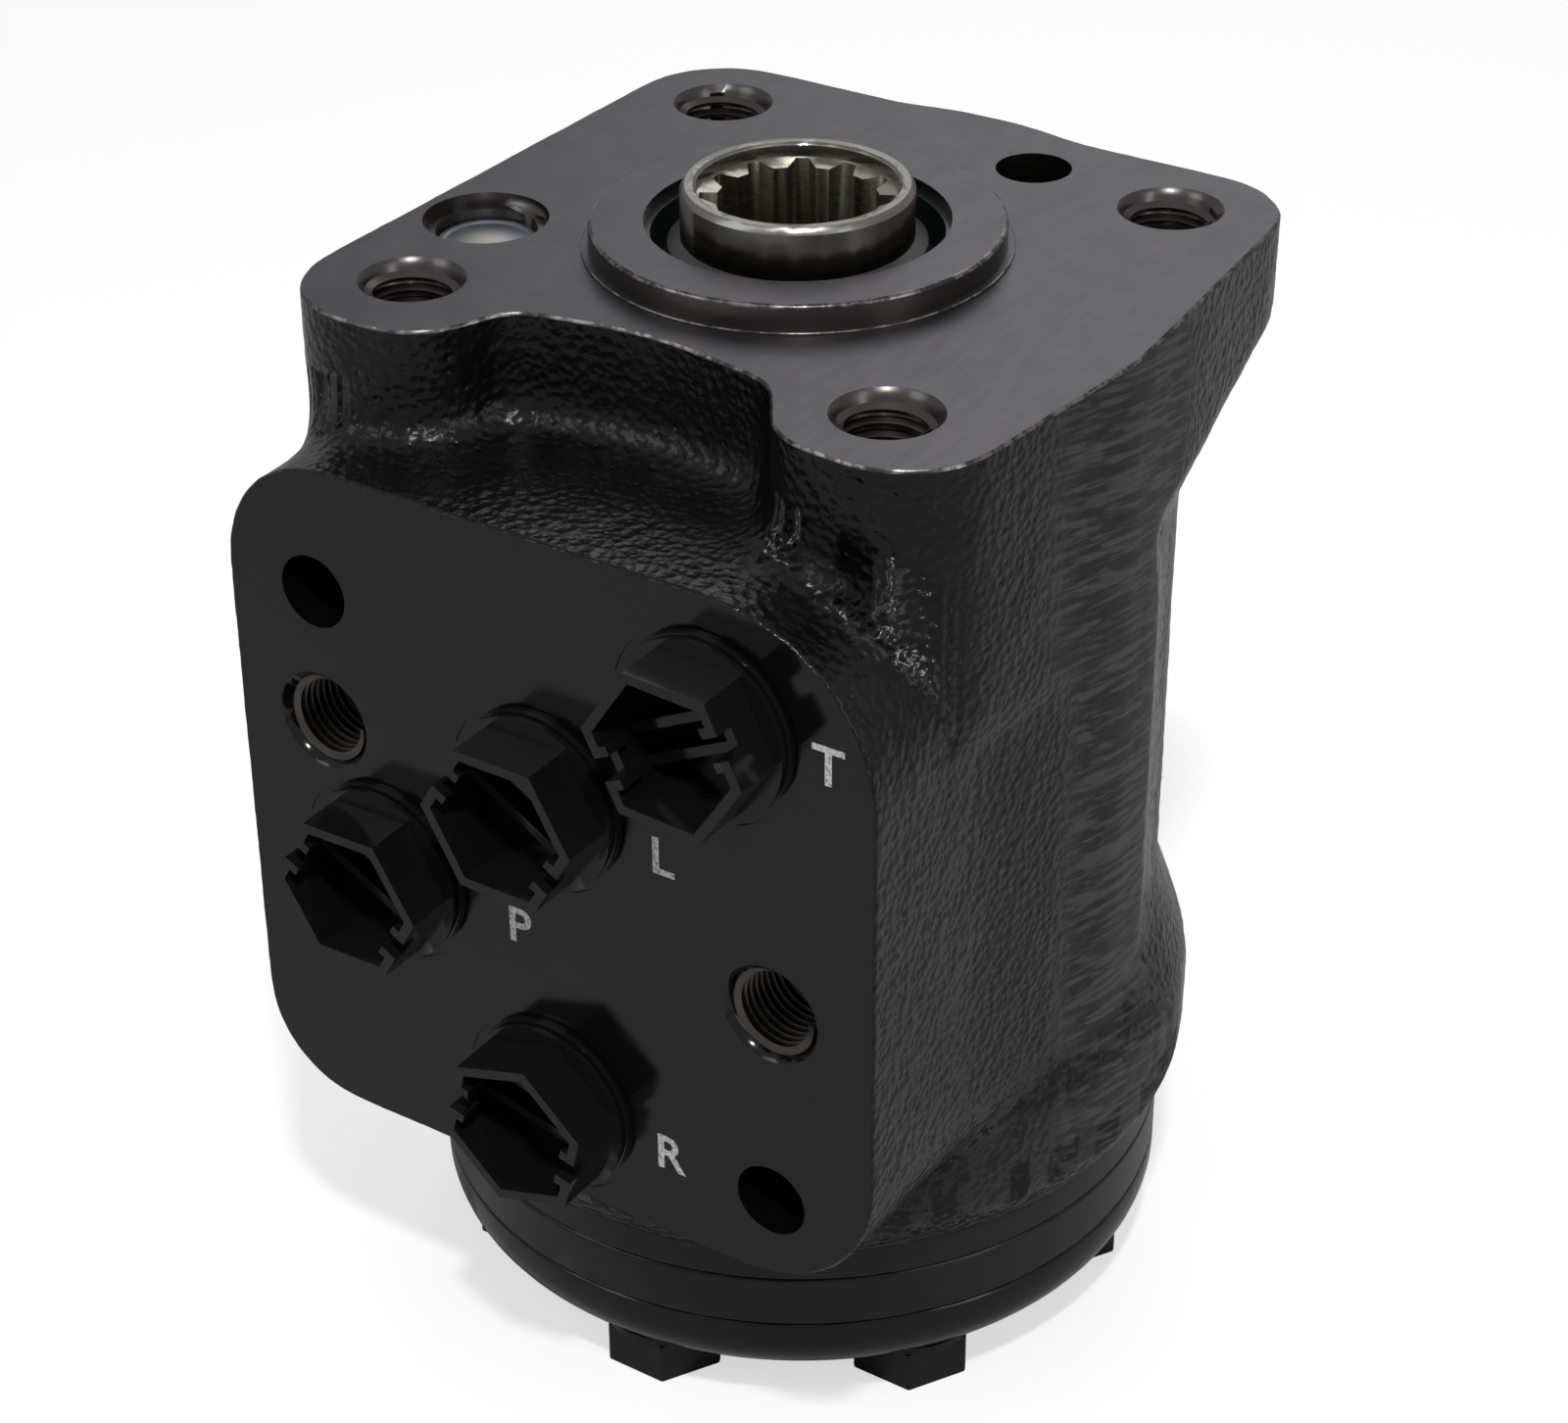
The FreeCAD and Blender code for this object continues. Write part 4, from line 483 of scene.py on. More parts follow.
def stretch_rim(piece, on_plane, by_mm):
    """Extrude the open rim that lies on one plane."""
    bpy.ops.object.mode_set(mode="OBJECT")
    mesh = piece.data
    uses = [0] * len(mesh.edges)
    for loop in mesh.loops:
        uses[loop.edge_index] += 1
    for vertex in mesh.vertices:
        vertex.select = False
    for edge in mesh.edges:
        middle = (mesh.vertices[edge.vertices[0]].co + mesh.vertices[edge.vertices[1]].co) / 2 / MM
        edge.select = uses[edge.index] == 1 and on_plane(middle)
    bpy.ops.object.mode_set(mode="EDIT")
    bpy.ops.mesh.select_mode(type="EDGE")
    bpy.ops.mesh.extrude_region_move(TRANSFORM_OT_translate={"value": Vector(by_mm) * MM})


stretch_rim(casting, lambda m: m.z > -0.02, (0, 0, SPARE))
stretch_rim(casting, lambda m: m.y < FACE_Y + 0.02, (0, -SPARE, 0))
stretch_rim(casting, lambda m: m.z < LOWER_FACE + 0.02, (0, 0, -SPARE))
bpy.ops.mesh.select_all(action="SELECT")
bpy.ops.mesh.fill_holes(sides=0)
bpy.ops.mesh.normals_make_consistent(inside=False)
bpy.ops.object.mode_set(mode="OBJECT")
print("closed shell", len(casting.data.polygons))

# %% [markdown]
# Voxel remeshing turns the closed shell into small even squares, so that smoothing acts the same
# everywhere. A few rounds of smoothing break the convex edges, and more rounds, deeper and deeper into the
# crease where the neck of the flange rises from the block's ledge, draw the broad fillet there. Remeshing
# once more evens the stretched squares, and a last smoothing takes their steps away.

# %% Remesh and smooth the skin
alone(casting)
casting.data.remesh_voxel_size = 0.85 * MM
casting.data.remesh_voxel_adaptivity = 0
bpy.ops.object.voxel_remesh()


def smooth_where(piece, wanted, rounds):
    """Relax the points that pass the test."""
    alone(piece)
    mesh = piece.data
    for face in mesh.polygons:
        face.select = False
    for edge in mesh.edges:
        edge.select = False
    for vertex in mesh.vertices:
        vertex.select = bool(wanted(vertex.co / MM))
    bpy.ops.object.mode_set(mode="EDIT")
    bpy.ops.mesh.select_mode(type="VERT")
    bpy.ops.mesh.vertices_smooth(factor=0.5, repeat=rounds)
    bpy.ops.object.mode_set(mode="OBJECT")


def off_the_planes(v):
    """Everything but the stretched rims that the milling takes off."""
    return v.z < 2 and v.y > FACE_Y - 2


smooth_where(casting, off_the_planes, 3)
for top, rounds in ((-6.5, 4), (-8.0, 6), (-9.5, 6), (-11.0, 6)):
    smooth_where(casting, lambda v: -20 < v.z < top and -47.5 < v.y < -16, rounds)
bpy.ops.object.voxel_remesh()
smooth_where(casting, off_the_planes, 16)
print("smooth skin", len(casting.data.polygons))

# %% [markdown]
# A casting is never smooth all over. Two displacements give it the fine sand skin and the slow waviness of
# a wooden pattern. The paint's bump map does the rest, since it can be finer than the mesh.

# %% Roughen the skin
for title, noise_mm, depth_mm in (("sand_skin", 1.5, 0.17), ("pattern_waves", 9.0, 0.2)):
    grain = bpy.data.textures.new(title, "CLOUDS")
    grain.noise_scale = noise_mm * MM
    grain.noise_depth = 1
    rough = casting.modifiers.new(title, "DISPLACE")
    rough.texture = grain
    rough.texture_coords = "LOCAL"
    rough.strength = depth_mm * MM
    rough.mid_level = 0.5
    alone(casting)
    bpy.ops.object.modifier_apply(modifier=title)
print("skin faces", len(casting.data.polygons))

# %% [markdown]
# Now the machining. Each plane is a bisect that throws the outer side away and fills the cut. Its rim is
# then broken by a small bevel, as a file would do it.

# %% Mill the three planes and break their rims
def mill(piece, spot, outwards, rim_mm):
    """Cut everything beyond a plane away, close the cut and bevel its rim."""
    alone(piece)
    bpy.ops.object.mode_set(mode="EDIT")
    bpy.ops.mesh.select_all(action="SELECT")
    bpy.ops.mesh.bisect(plane_co=Vector(spot) * MM, plane_no=outwards, clear_outer=True, use_fill=True)
    bpy.ops.object.mode_set(mode="OBJECT")
    level = Vector(spot).dot(outwards)
    out = Vector(outwards)
    pick_faces(piece, lambda c, n: abs(c.dot(out) - level) < 0.01 and n.dot(out) > 0.99)
    bpy.ops.mesh.region_to_loop()
    bpy.ops.mesh.bevel(offset=rim_mm * MM, segments=1, affect="EDGES")
    bpy.ops.object.mode_set(mode="OBJECT")


mill(casting, (0, 0, 0), (0, 0, 1), 0.3)
mill(casting, (0, FACE_Y, 0), (0, -1, 0), 0.2)
mill(casting, (0, 0, LOWER_FACE), (0, 0, -1), 0.2)
print("milled casting", len(casting.data.polygons))

# %% [markdown]
# A drill is a cylinder or a cone that starts at a point and goes down, or into the port face. Booleans
# work on closed meshes, so all drills are united into one cutter and the casting is cut only once.

# %% Helpers for drilling
THREAD = 5.0
INWARDS = Euler((math.radians(90), 0, 0))


def drill(radius, start, depth, tip_radius=None, along_y=False, sides=64):
    """A drill from its start point, down or, along_y, into the port face."""
    sink = Vector((0, 1, 0)) if along_y else Vector((0, 0, -1))
    middle = Vector(start) + sink * depth / 2
    turn = INWARDS if along_y else Euler((0, 0, 0))
    last = radius if tip_radius is None else tip_radius
    bpy.ops.mesh.primitive_cone_add(vertices=sides, radius1=last * MM, radius2=radius * MM, depth=depth * MM,
                                    location=middle * MM, rotation=turn)
    return bpy.context.object


def combine(base, tool, how):
    """Apply one boolean and delete the tool."""
    alone(base)
    step = base.modifiers.new("step", "BOOLEAN")
    step.operation = how
    step.solver = "MANIFOLD"
    step.object = tool
    bpy.ops.object.modifier_apply(modifier="step")
    bpy.data.objects.remove(tool)


def united(tools):
    """Join overlapping or separate tools into one closed mesh."""
    whole = tools[0]
    for tool in tools[1:]:
        combine(whole, tool, "UNION")
    return whole


def tapped(a, b, depth, along_y=False):
    """Drill as wide as the thread's roots, with its countersink, started a little outside the face."""
    face = (a, FACE_Y, b) if along_y else (a, b, 0)
    out = Vector((0, -1, 0)) if along_y else Vector((0, 0, 1))
    wide = MOUTH + 1
    return [drill(THREAD, Vector(face) + out, depth + 1, along_y=along_y, sides=48),
            drill(wide, Vector(face) + out, wide - THREAD, THREAD, along_y=along_y, sides=48)]


print("thread roots at", THREAD, "mm, mouths at", MOUTH, "mm")

# %% [markdown]
# From above, the spool's bore steps through the seal case, the shaft seal and the bearing to the long bore
# of the valve, which has a round gallery at the level of each port. Ports and fastening holes come from
# the front. The column holes, the channel and the expander plug's stepped hole come from the top.

# %% Drills for the bore, the ports and the flange
SEAL_CASE_BORE, SHAFT_SEAL_BORE, BEARING_BORE, VALVE_BORE = 16.4, 12.9, 17.0, 21.0
GALLERY, GALLERY_HEIGHT = 24.5, 6.4
tools = [drill(SEAL_CASE_BORE, (0, 0, 4), 8.5), drill(SHAFT_SEAL_BORE, (0, 0, 0), 7.0),
         drill(BEARING_BORE, (0, 0, -6.0), 4.6), drill(VALVE_BORE, (0, 0, -10.6), 92.5, sides=96)]
for x, level in PORTS.values():
    tools.append(drill(GALLERY, (0, 0, level + GALLERY_HEIGHT / 2), GALLERY_HEIGHT, sides=96))
for x, level in PORTS.values():
    tools.append(drill(PORT_SPOT, (x, FACE_Y - 1, level), 1.15, along_y=True))
    tools.append(drill(PORT_BORE, (x, FACE_Y - 1, level), 15.5, along_y=True))
    tools.append(drill(4.5, (x, FACE_Y, level), 40.0, along_y=True, sides=32))
for x, level in BLOCK_PLAIN:
    tools.append(drill(4.2, (x, FACE_Y - 1, level), 17.0, along_y=True, sides=48))
for x, level in BLOCK_TAPPED:
    tools += tapped(x, level, 16.0, along_y=True)
for x, y in COLUMN_HOLES:
    tools += tapped(x, y, 17.0)
tools.append(drill(4.25, (*CHANNEL_HOLE, 1), 25.0, sides=48))
tools.append(drill(6.9, (*PLUG_HOLE, 1), 2.4, sides=48))
tools.append(drill(5.6, (*PLUG_HOLE, 1), 9.0, sides=48))
print("drills from above and in front", len(tools))

# %% [markdown]
# From below come seven screws on one circle, with an oil hole between each two. One of the seven is the
# special screw under the check valve, so its hole is wider and goes on upwards as the valve's bore and the
# channel that the ball can lift into.

# %% Drills for the lower face
SCREWS, FIRST_SCREW, VALVE_SCREW = 7, -85.5, 3
OIL_CIRCLE = 26


def on_circle(radius, place):
    """Spot on a circle, counted in screws from the first one."""
    turn = math.radians(FIRST_SCREW + 360 / SCREWS * place)
    return radius * math.cos(turn), radius * math.sin(turn)


for k in range(SCREWS):
    if k == VALVE_SCREW:
        tools.append(drill(5.2, (*on_circle(SCREW_CIRCLE, k), LOWER_FACE + 8.2), 9.2, sides=32))
    else:
        tools.append(drill(4.0, (*on_circle(SCREW_CIRCLE, k), LOWER_FACE + 17), 18.0, sides=32))
    tools.append(drill(2.3, (*on_circle(OIL_CIRCLE, k + 0.5), LOWER_FACE + 15.1), 16.1, sides=24))
tools.append(drill(4.25, (*on_circle(SCREW_CIRCLE, VALVE_SCREW), -67.64), 35.5, sides=32))
tools.append(drill(2.82, (*on_circle(SCREW_CIRCLE, VALVE_SCREW), -59.7), 9.0))
print("drills in all", len(tools))

# %% [markdown]
# The pilot that centres the steering column is turned from the same casting: a low ring round a raised
# one. Both are added as discs first, and then everything is drilled through.

# %% Add the pilot and drill the casting
def disc(radius, top, height, bevel):
    """Turned disc with a bevelled upper rim."""
    piece = drill(radius, (0, 0, top), height, sides=128)
    pick_faces(piece, lambda c, n: n.z > 0.9)
    bpy.ops.mesh.region_to_loop()
    bpy.ops.mesh.bevel(offset=bevel * MM, segments=3, affect="EDGES")
    bpy.ops.object.mode_set(mode="OBJECT")
    return piece


combine(casting, disc(23.1, 0.35, 2.0, 0.15), "UNION")
combine(casting, disc(22.3, 3.0, 4.0, 0.4), "UNION")
combine(casting, united(tools), "DIFFERENCE")
print("drilled casting", len(casting.data.polygons))

# %% [markdown]
# One object can carry several finishes, one for each face. The cast skin keeps the paint, the flange face
# and the pilot are bare milled iron, the port face has a thin satin coat of paint, and the holes are
# oily turned iron. The milled rims have lost their paint, so they shine.

# %% Flange face, worn rims, port face and bores
flange_iron = Finish("milled_flange_iron", (0.16, 0.155, 0.163), 0.42, 1.0)
mottle = flange_iron.noise(7.0, 4.0, 0.6)
swirl = flange_iron.noise(1.2, 3.0, 0.6, (1, 6, 1))
flange_iron.feed("Base Color", flange_iron.mix(
    mottle.fade(0.3, 0.7), (0.088, 0.085, 0.091), (0.108, 0.104, 0.11)))
flange_iron.feed("Roughness", mottle * 0.08 + swirl * 0.14 + 0.3)
flange_iron.feed("Normal", flange_iron.relief(swirl, 0.02, 0.4))

worn_rim = Finish("worn_rim", (0.3, 0.29, 0.28), 0.3, 1.0)
chips = worn_rim.noise(2.2, 4.0, 0.7)
worn_rim.feed("Base Color", worn_rim.mix(chips.fade(0.42, 0.6), (0.06, 0.06, 0.06), (0.25, 0.24, 0.235)))

port_satin = Finish("port_face_satin_black", (0.003, 0.003, 0.0035), 0.14)
port_satin.feed("Specular IOR Level", 0.4)
film = port_satin.noise(14.0, 3.0, 0.55)
fine = port_satin.noise(0.7, 4.0, 0.6)
port_satin.feed("Roughness", film * 0.06 + fine * 0.05 + 0.07)
port_satin.feed("Normal", port_satin.relief(fine, 0.01, 0.35))

bore_iron = Finish("oily_bore_iron", (0.1, 0.095, 0.09), 0.28, 1.0)
chatter = bore_iron.noise(0.8, 3.0, 0.6, (6, 6, 1))
bore_iron.feed("Roughness", chatter * 0.2 + 0.2)
bore_iron.feed("Normal", bore_iron.relief(chatter, 0.03, 0.5))
BARE_FINISHES = [made.material for made in (flange_iron, worn_rim, port_satin, bore_iron)]
print("bare finishes", [made.name for made in BARE_FINISHES])

# %% [markdown]
# Which finish a face gets follows from its place and direction. The skin is shaded smooth except at
# turned and milled edges, and the two big planes are shaded flat, so that nothing bends their light.

# %% Give every face of the casting its finish
PAINT, FLANGE, RIM, FACE, BORE = range(5)
casting.data.materials.clear()
for finish in [casting_paint, *BARE_FINISHES]:
    casting.data.materials.append(finish)


def casting_finish(c, n):
    """Which finish a face of the casting has, by its middle in millimetres and its normal."""
    off_axis = math.hypot(c.x, c.y)
    if n.z > 0.99 and c.z > -0.05:
        return FLANGE
    if n.y < -0.99 and c.y < FACE_Y + 0.2:
        return FACE
    if c.z > -0.35 and n.z > 0.2 and not near(c.x, c.y, COLUMN_HOLES + [CHANNEL_HOLE, PLUG_HOLE], 7.0):
        return RIM
    if off_axis < 26 or near(c.x, c.y, COLUMN_HOLES, MOUTH + 0.1) and c.z > -18:
        return BORE
    if c.z > -26 and near(c.x, c.y, [CHANNEL_HOLE], 4.4) or near(c.x, c.y, [PLUG_HOLE], 7.0) and c.z > -9:
        return BORE
    if c.z < LOWER_FACE + 18 and off_axis < 40.7:
        return BORE
    in_port = near(c.x, c.z, PORTS.values(), PORT_BORE + 0.1)
    if c.y > -33 and not (c.y < -15 and in_port):
        return PAINT
    in_tapped = near(c.x, c.z, BLOCK_TAPPED, MOUTH + 0.1)
    if in_tapped and n.y > -0.3 or in_port:
        return BORE
    if in_tapped or near(c.x, c.z, BLOCK_PLAIN, 4.3):
        return FACE
    if near(c.x, c.z, PORTS.values(), PORT_SPOT + 0.1) and c.y < FACE_Y + 0.2:
        return FACE
    return PAINT


tally = [0] * 5
for face in casting.data.polygons:
    face.material_index = casting_finish(face.center / MM, face.normal)
    tally[face.material_index] += 1
alone(casting)
bpy.ops.object.shade_smooth_by_angle(angle=math.radians(38))
pick_faces(casting, lambda c, n: casting_finish(c, n) == PAINT)
bpy.ops.mesh.select_less()
bpy.ops.mesh.mark_sharp(clear=True)
pick_faces(casting, lambda c, n: n.z > 0.99 and c.z > -0.05 or n.y < -0.99 and c.y < FACE_Y + 0.2)
bpy.ops.mesh.faces_shade_flat()
bpy.ops.object.mode_set(mode="OBJECT")
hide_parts("housing")
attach(casting, "housing_group")
print("faces per finish", tally)

# %% [markdown]
# The port plugs are moulded plastic: a hollow hexagon, notched through its rim and with two webs across
# it, on a flange with two thin lips and a shank. Turned parts grow from one circle, by extruding and
# scaling, as clay grows on a wheel. Prisms and boxes are added for the rest.

# %% Helpers for turned and moulded pieces
def turned(name, profile, sides=96):
    """Closed turned solid about Z from (radius, height) pairs in millimetres, lowest first."""
    (radius, height), *rest = profile
    bpy.ops.object.select_all(action="DESELECT")
    bpy.ops.mesh.primitive_circle_add(vertices=sides, radius=radius * MM, fill_type="NGON",
                                      location=(0, 0, height * MM))
    piece = bpy.context.object
    piece.name = name
    bpy.ops.object.transform_apply(location=True, rotation=False, scale=False)
    bpy.ops.object.mode_set(mode="EDIT")
    bpy.ops.mesh.select_mode(type="FACE")
    for wide, high in rest:
        bpy.ops.mesh.extrude_region_move(TRANSFORM_OT_translate={"value": (0, 0, (high - height) * MM)})
        bpy.ops.transform.resize(value=(wide / radius, wide / radius, 1))
        radius, height = wide, high
    bpy.ops.mesh.select_all(action="SELECT")
    bpy.ops.mesh.normals_make_consistent(inside=False)
    bpy.ops.object.mode_set(mode="OBJECT")
    return piece


def hexagon(name, flats, low, high):
    """Hexagonal prism about Z, given the width across its flats."""
    bpy.ops.mesh.primitive_cylinder_add(vertices=6, radius=flats / math.sqrt(3) * MM, depth=(high - low) * MM,
                                        location=(0, 0, (low + high) / 2 * MM))
    piece = bpy.context.object
    piece.name = name
    bpy.ops.object.transform_apply(location=True, rotation=True, scale=True)
    return piece


def bar(name, low, high):
    """Box between two corners in millimetres."""
    bpy.ops.mesh.primitive_cube_add(size=1, location=[(a + b) / 2 * MM for a, b in zip(low, high)],
                                    scale=[(b - a) * MM for a, b in zip(low, high)])
    piece = bpy.context.object
    piece.name = name
    bpy.ops.object.transform_apply(location=True, rotation=True, scale=True)
    return piece


def bevel_edges(piece, width_mm, steep):
    """Dissolve flat seams, bevel the edges steeper than an angle in degrees and shade smooth."""
    alone(piece)
    bpy.ops.object.mode_set(mode="EDIT")
    bpy.ops.mesh.select_all(action="SELECT")
    bpy.ops.mesh.remove_doubles(threshold=0.002 * MM)
    bpy.ops.mesh.dissolve_limited(angle_limit=math.radians(0.6))
    bpy.ops.object.mode_set(mode="OBJECT")
    soft = piece.modifiers.new("edges", "BEVEL")
    soft.width = width_mm * MM
    soft.segments = 2
    soft.limit_method = "ANGLE"
    soft.angle_limit = math.radians(steep)
    soft.harden_normals = True
    bpy.ops.object.modifier_apply(modifier="edges")
    bpy.ops.object.shade_smooth_by_angle(angle=math.radians(14))


def copies(piece, placements):
    """One copy, with its own mesh, at every placement; the pattern itself is thrown away."""
    made = []
    for placement in placements:
        twin = piece.copy()
        twin.data = piece.data.copy()
        bpy.context.scene.collection.objects.link(twin)
        twin.matrix_world = placement
        alone(twin)
        bpy.ops.object.transform_apply(location=True, rotation=True, scale=True)
        made.append(twin)
    bpy.data.objects.remove(piece)
    return made


OUTWARDS = Matrix.Rotation(math.radians(90), 4, "X")


def on_face(x, level, sink_mm=0):
    """Placement that turns a piece's top outwards and sets it on the port face."""
    return Matrix.Translation(Vector((x, FACE_Y + sink_mm, level)) * MM) @ OUTWARDS


print("first port's place", [round(v / MM, 1) for v in on_face(*PORTS["T"]).translation])

# %% [markdown]
# One plug is modelled upright at the origin. The hexagon is united with the turned flange and hollowed,
# the two webs are laid through the hollow, and short stubs carry them up to the rim, where one cut opens
# the notch through everything.

# %% Model one transport plug
CAP, FLATS, WALL, SLOT = 7.65, 16.4, 1.1, 1.3
SHANK, LIP, WAIST, WEB_END = 8.85, 10.2, 9.6, 7.6
plug = turned("port_plug", [(8.2, -11), (SHANK, -10.3), (SHANK, 0), (LIP, 0), (LIP, 0.6), (WAIST, 0.7),
                            (WAIST, 1.1), (LIP, 1.2), (LIP, 1.8), (6.0, 1.8)])
combine(plug, hexagon("cap", FLATS, 0.3, CAP), "UNION")
combine(plug, hexagon("hollow", FLATS - 2 * WALL, CAP - 9, CAP + 1), "DIFFERENCE")
for side in (-1, 1):
    inner, outer = sorted((side * SLOT, side * (SLOT + WALL)))
    combine(plug, bar("web", (-WEB_END, inner, CAP - 9.3), (WEB_END, outer, CAP - 5.5)), "UNION")
    for end in (-1, 1):
        near_x, far_x = sorted((end * 6.2, end * WEB_END))
        combine(plug, bar("stub", (near_x, inner, CAP - 3), (far_x, outer, CAP - 0.01)), "UNION")
combine(plug, bar("notch", (-20, -SLOT, CAP - 2.2), (20, SLOT, CAP + 1)), "DIFFERENCE")
bevel_edges(plug, 0.14, steep=30)
print("plug faces", len(plug.data.polygons))

# %% [markdown]
# All four ports have the same plug, but no two are screwed in alike. So the copies differ only in their
# place and in how far each is turned.

# %% Screw the four copies into their ports
PLUG_TURNS = {"t": 26.9, "l": 149.7, "p": 151.4, "r": 167.2}
plug_places = [on_face(*PORTS[port.upper()], 0.15) @ Matrix.Rotation(math.radians(turn), 4, "Z")
               for port, turn in PLUG_TURNS.items()]
for port, twin in zip(PLUG_TURNS, copies(plug, plug_places)):
    twin.name = f"transport_plug_{port}"
    twin.data.materials.clear()
    twin.data.materials.append(plug_plastic)
    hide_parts(f"port_plug_{port}")
    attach(twin, "housing_group")
print("plugs in their ports:", len(PLUG_TURNS))

# %% [markdown]
# Each tapped hole gets its thread as a ridge that stands on the drilled wall. The ridge's outline, a small
# trapezium, is swept round and upwards by a Screw modifier and capped at both ends. The coarse thread of
# the column holes and the fine one of the block are each made once and then copied.

# %% Sweep the threads
RIDGE_AT, RIDGE_THICK, RIDGE_TOP = 4.68, 0.78, 0.9


def ridge(pitch, rounds):
    """Thread ridge about Z that ends just under the countersink of a hole at the origin."""
    bpy.ops.object.select_all(action="DESELECT")
    bpy.ops.mesh.primitive_plane_add(size=1, rotation=(math.radians(90), 0, 0))
    piece = bpy.context.object
    piece.name = "thread"
    bpy.ops.object.transform_apply(location=True, rotation=True, scale=True)
    bpy.ops.object.mode_set(mode="EDIT")
    bpy.ops.mesh.select_all(action="SELECT")
    bpy.ops.transform.resize(value=(RIDGE_THICK * MM, 1, 0.86 * pitch * MM))
    bpy.ops.transform.translate(value=(RIDGE_AT * MM, 0, (-RIDGE_TOP - pitch * rounds) * MM))
    bpy.ops.mesh.delete(type="ONLY_FACE")
    bpy.ops.object.mode_set(mode="OBJECT")
    for vertex in piece.data.vertices:
        vertex.select = vertex.co.x < RIDGE_AT * MM
    bpy.ops.object.mode_set(mode="EDIT")
    bpy.ops.mesh.select_mode(type="VERT")
    bpy.ops.transform.resize(value=(1, 1, 0.2))
    bpy.ops.object.mode_set(mode="OBJECT")
    sweep = piece.modifiers.new("sweep", "SCREW")
    sweep.axis = "Z"
    sweep.screw_offset = pitch * MM
    sweep.iterations = rounds
    sweep.steps = 36
    bpy.ops.object.modifier_apply(modifier="sweep")
    bpy.ops.object.mode_set(mode="EDIT")
    bpy.ops.mesh.select_all(action="SELECT")
    bpy.ops.mesh.fill_holes(sides=0)
    bpy.ops.mesh.normals_make_consistent(inside=False)
    bpy.ops.object.mode_set(mode="OBJECT")
    bpy.ops.object.shade_smooth_by_angle(angle=math.radians(20))
    return piece


threads = copies(ridge(1.5, 10), [Matrix.Translation(Vector((x, y, 0)) * MM) for x, y in COLUMN_HOLES])
threads += copies(ridge(1.0, 14), [on_face(*spot) for spot in BLOCK_TAPPED])
alone(threads[0])
for thread in threads:
    thread.select_set(True)
bpy.ops.object.join()
hole_threads = bpy.context.object
hole_threads.name = "hole_threads"
hole_threads.data.materials.append(bore_iron.material)
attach(hole_threads, "housing_group")
print("thread faces", len(hole_threads.data.polygons))

# %% [markdown]
# Each port has its letter beside it in pale, worn paint, so that nobody mixes up the hoses. The letters
# are text, thickened a little, turned into thin solids and set on the port face.

# %% Mark the ports
mark_paint = Finish("port_mark_pale_paint", (0.35, 0.35, 0.36), 0.6)
worn = mark_paint.noise(0.4, 3.0, 0.7)
mark_paint.feed("Base Color", mark_paint.mix(worn.fade(0.3, 0.6), (0.2, 0.2, 0.205), (0.72, 0.72, 0.73)))
MARKS = {"T": (35.4, -27.8), "L": (15.5, -45.4), "P": (-3.3, -60.9), "R": (15.5, -83.4)}
MARK_SIZE, MARK_RISE, MARK_WEIGHT = 6.2, 0.02, 0.09
for letter, spot in MARKS.items():
    bpy.ops.object.select_all(action="DESELECT")
    bpy.ops.object.text_add()
    sign = bpy.context.object
    sign.data.body = letter
    sign.data.size = MARK_SIZE * MM
    sign.data.extrude = MARK_RISE * MM
    sign.data.offset = MARK_WEIGHT * MM
    sign.data.align_x, sign.data.align_y = "CENTER", "CENTER"
    bpy.ops.object.convert(target="MESH")
    sign = bpy.context.object
    sign.name = f"port_mark_{letter.lower()}"
    sign.matrix_world = on_face(*spot)
    bpy.ops.object.transform_apply(location=True, rotation=True, scale=True)
    bpy.ops.object.mode_set(mode="EDIT")
    bpy.ops.mesh.select_all(action="SELECT")
    bpy.ops.mesh.remove_doubles(threshold=0.001 * MM)
    bpy.ops.mesh.normals_make_consistent(inside=False)
    bpy.ops.object.mode_set(mode="OBJECT")
    sign.data.materials.clear()
    sign.data.materials.append(mark_paint.material)
    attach(sign, "housing_group")
print("port marks", len(MARKS))

# %% [markdown]
# The expander plug is a zinc-plated steel disc, pressed flat against its shoulder so that it grips the hole.
# A shallow dome is left in its middle.

# %% Press the expander plug in
zinc_disc = Finish("expander_plug_zinc", (0.3, 0.33, 0.38), 0.35, 0.9)
rings = zinc_disc.noise(1.6, 3.0, 0.6)
across = zinc_disc.x / MM - PLUG_HOLE[0]
along = zinc_disc.y / MM - PLUG_HOLE[1]
off_centre = (across ** 2 + along ** 2) ** 0.5 + rings * 1.2
zinc_disc.feed("Base Color", zinc_disc.mix(off_centre.fade(0.8, 4.6), (0.5, 0.48, 0.43), (0.2, 0.225, 0.26)))
zinc_disc.feed("Roughness", rings * 0.25 + 0.26)
expander = turned("expander_plug", [
    (4.2, -6.0), (4.2, -7.0), (5.6, -7.0), (5.6, -2.75), (5.3, -2.5), (4.9, -2.5),
    (4.6, -2.7), (3.4, -2.62), (2.0, -2.5), (0.4, -2.44)], sides=64)
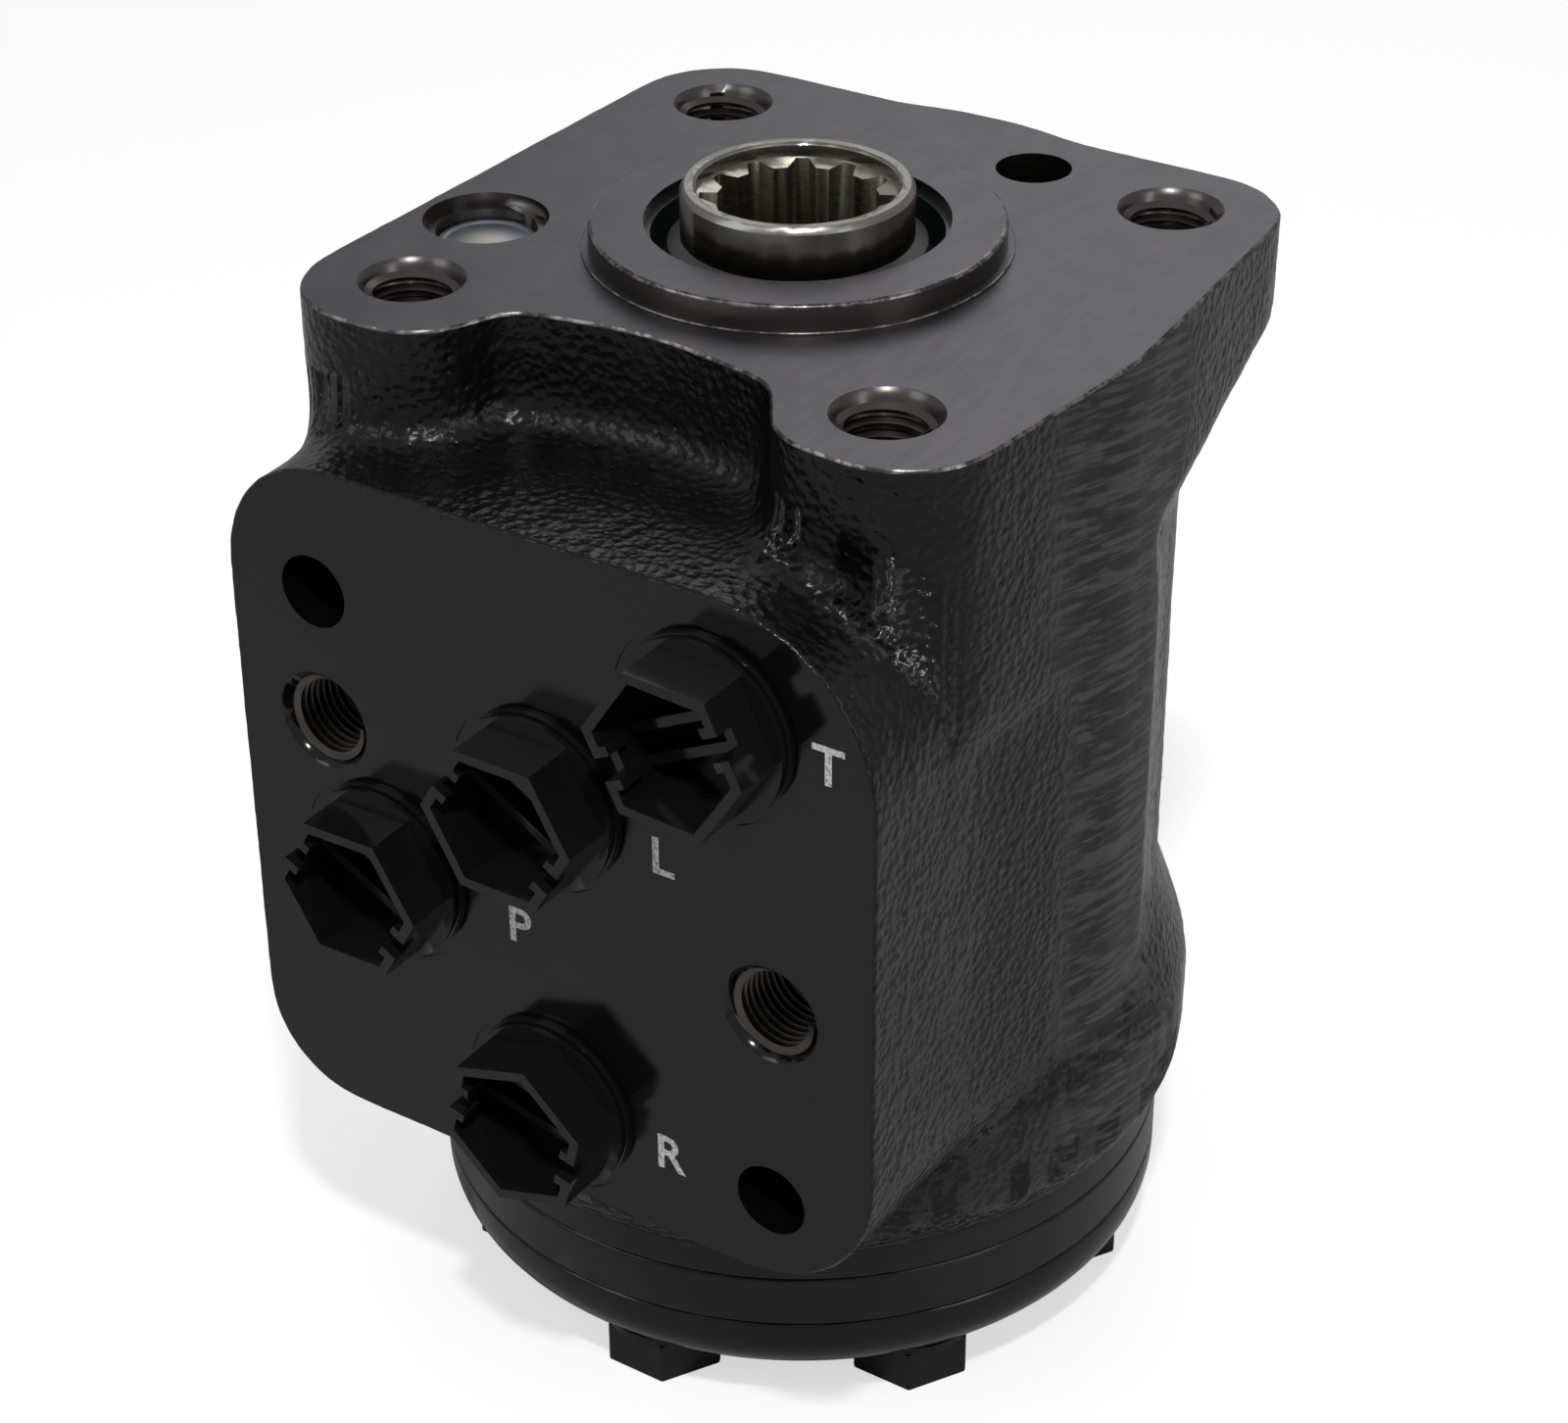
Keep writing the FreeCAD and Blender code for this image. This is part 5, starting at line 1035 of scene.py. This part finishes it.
expander.location = Vector((*PLUG_HOLE, 0)) * MM
bpy.ops.object.transform_apply(location=True)
bpy.ops.object.shade_smooth_by_angle(angle=math.radians(30))
expander.data.materials.append(zinc_disc.material)
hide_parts("flange_expander_plug")
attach(expander, "housing_group")
print("expander plug faces", len(expander.data.polygons))

# %% [markdown]
# Real edges are never quite sharp: they catch a line of light. The carried-over parts that show are
# therefore copied, their sharp edges bevelled by about a tenth of a millimetre, twice that on the screws,
# and the copies shown in their place.

# %% Soften the parts that show
spool_steel = Finish("spool_ground_steel", (0.2, 0.19, 0.178), 0.3, 1.0)
grind = spool_steel.noise(0.5, 4.0, 0.6, (6, 6, 1))
from_axis = (spool_steel.x ** 2 + spool_steel.y ** 2) ** 0.5 / MM
ground_skin = spool_steel.mix(grind, (0.2, 0.188, 0.172), (0.25, 0.236, 0.217))
# Painted light: the socket's inside is painted several times lighter than the ground skin. This lifts the
# shade inside the socket and stands in for the bright patch on its teeth.
socket_painted_light = spool_steel.mix(grind, (0.3, 0.285, 0.245), (0.45, 0.43, 0.38))
spool_steel.feed("Base Color", spool_steel.mix(from_axis.fade(10.6, 11.0), socket_painted_light, ground_skin))
spool_steel.feed("Roughness", grind * 0.06 + 0.24)
spool_steel.feed("Anisotropic", 0.6)


def softened(node, body, finish, width_mm):
    """Stand-in for a carried-over part, with bevelled edges."""
    piece = bpy.data.objects.new(node + "_softened", nodes[node].data.copy())
    bpy.context.scene.collection.objects.link(piece)
    piece.data.materials.clear()
    piece.data.materials.append(finish)
    bevel_edges(piece, width_mm, steep=35)
    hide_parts(node)
    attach(piece, body)
    return len(piece.data.polygons)


print("softened faces", [
    softened("spool", "spool_group", spool_steel.material, 0.14),
    softened("distributor_plate", "housing_group", ring_satin, 0.14),
    softened("gear_ring", "housing_group", ring_satin, 0.14),
    softened("end_cover", "housing_group", cover_gloss, 0.14),
    softened("dust_seal_case", "housing_group", seal_case_tin, 0.06),
    softened("cover_screws", "housing_group", screw_black, 0.25),
    softened("check_valve_screw", "housing_group", screw_black, 0.25),
    softened("screw_washers", "housing_group", screw_black, 0.1)])
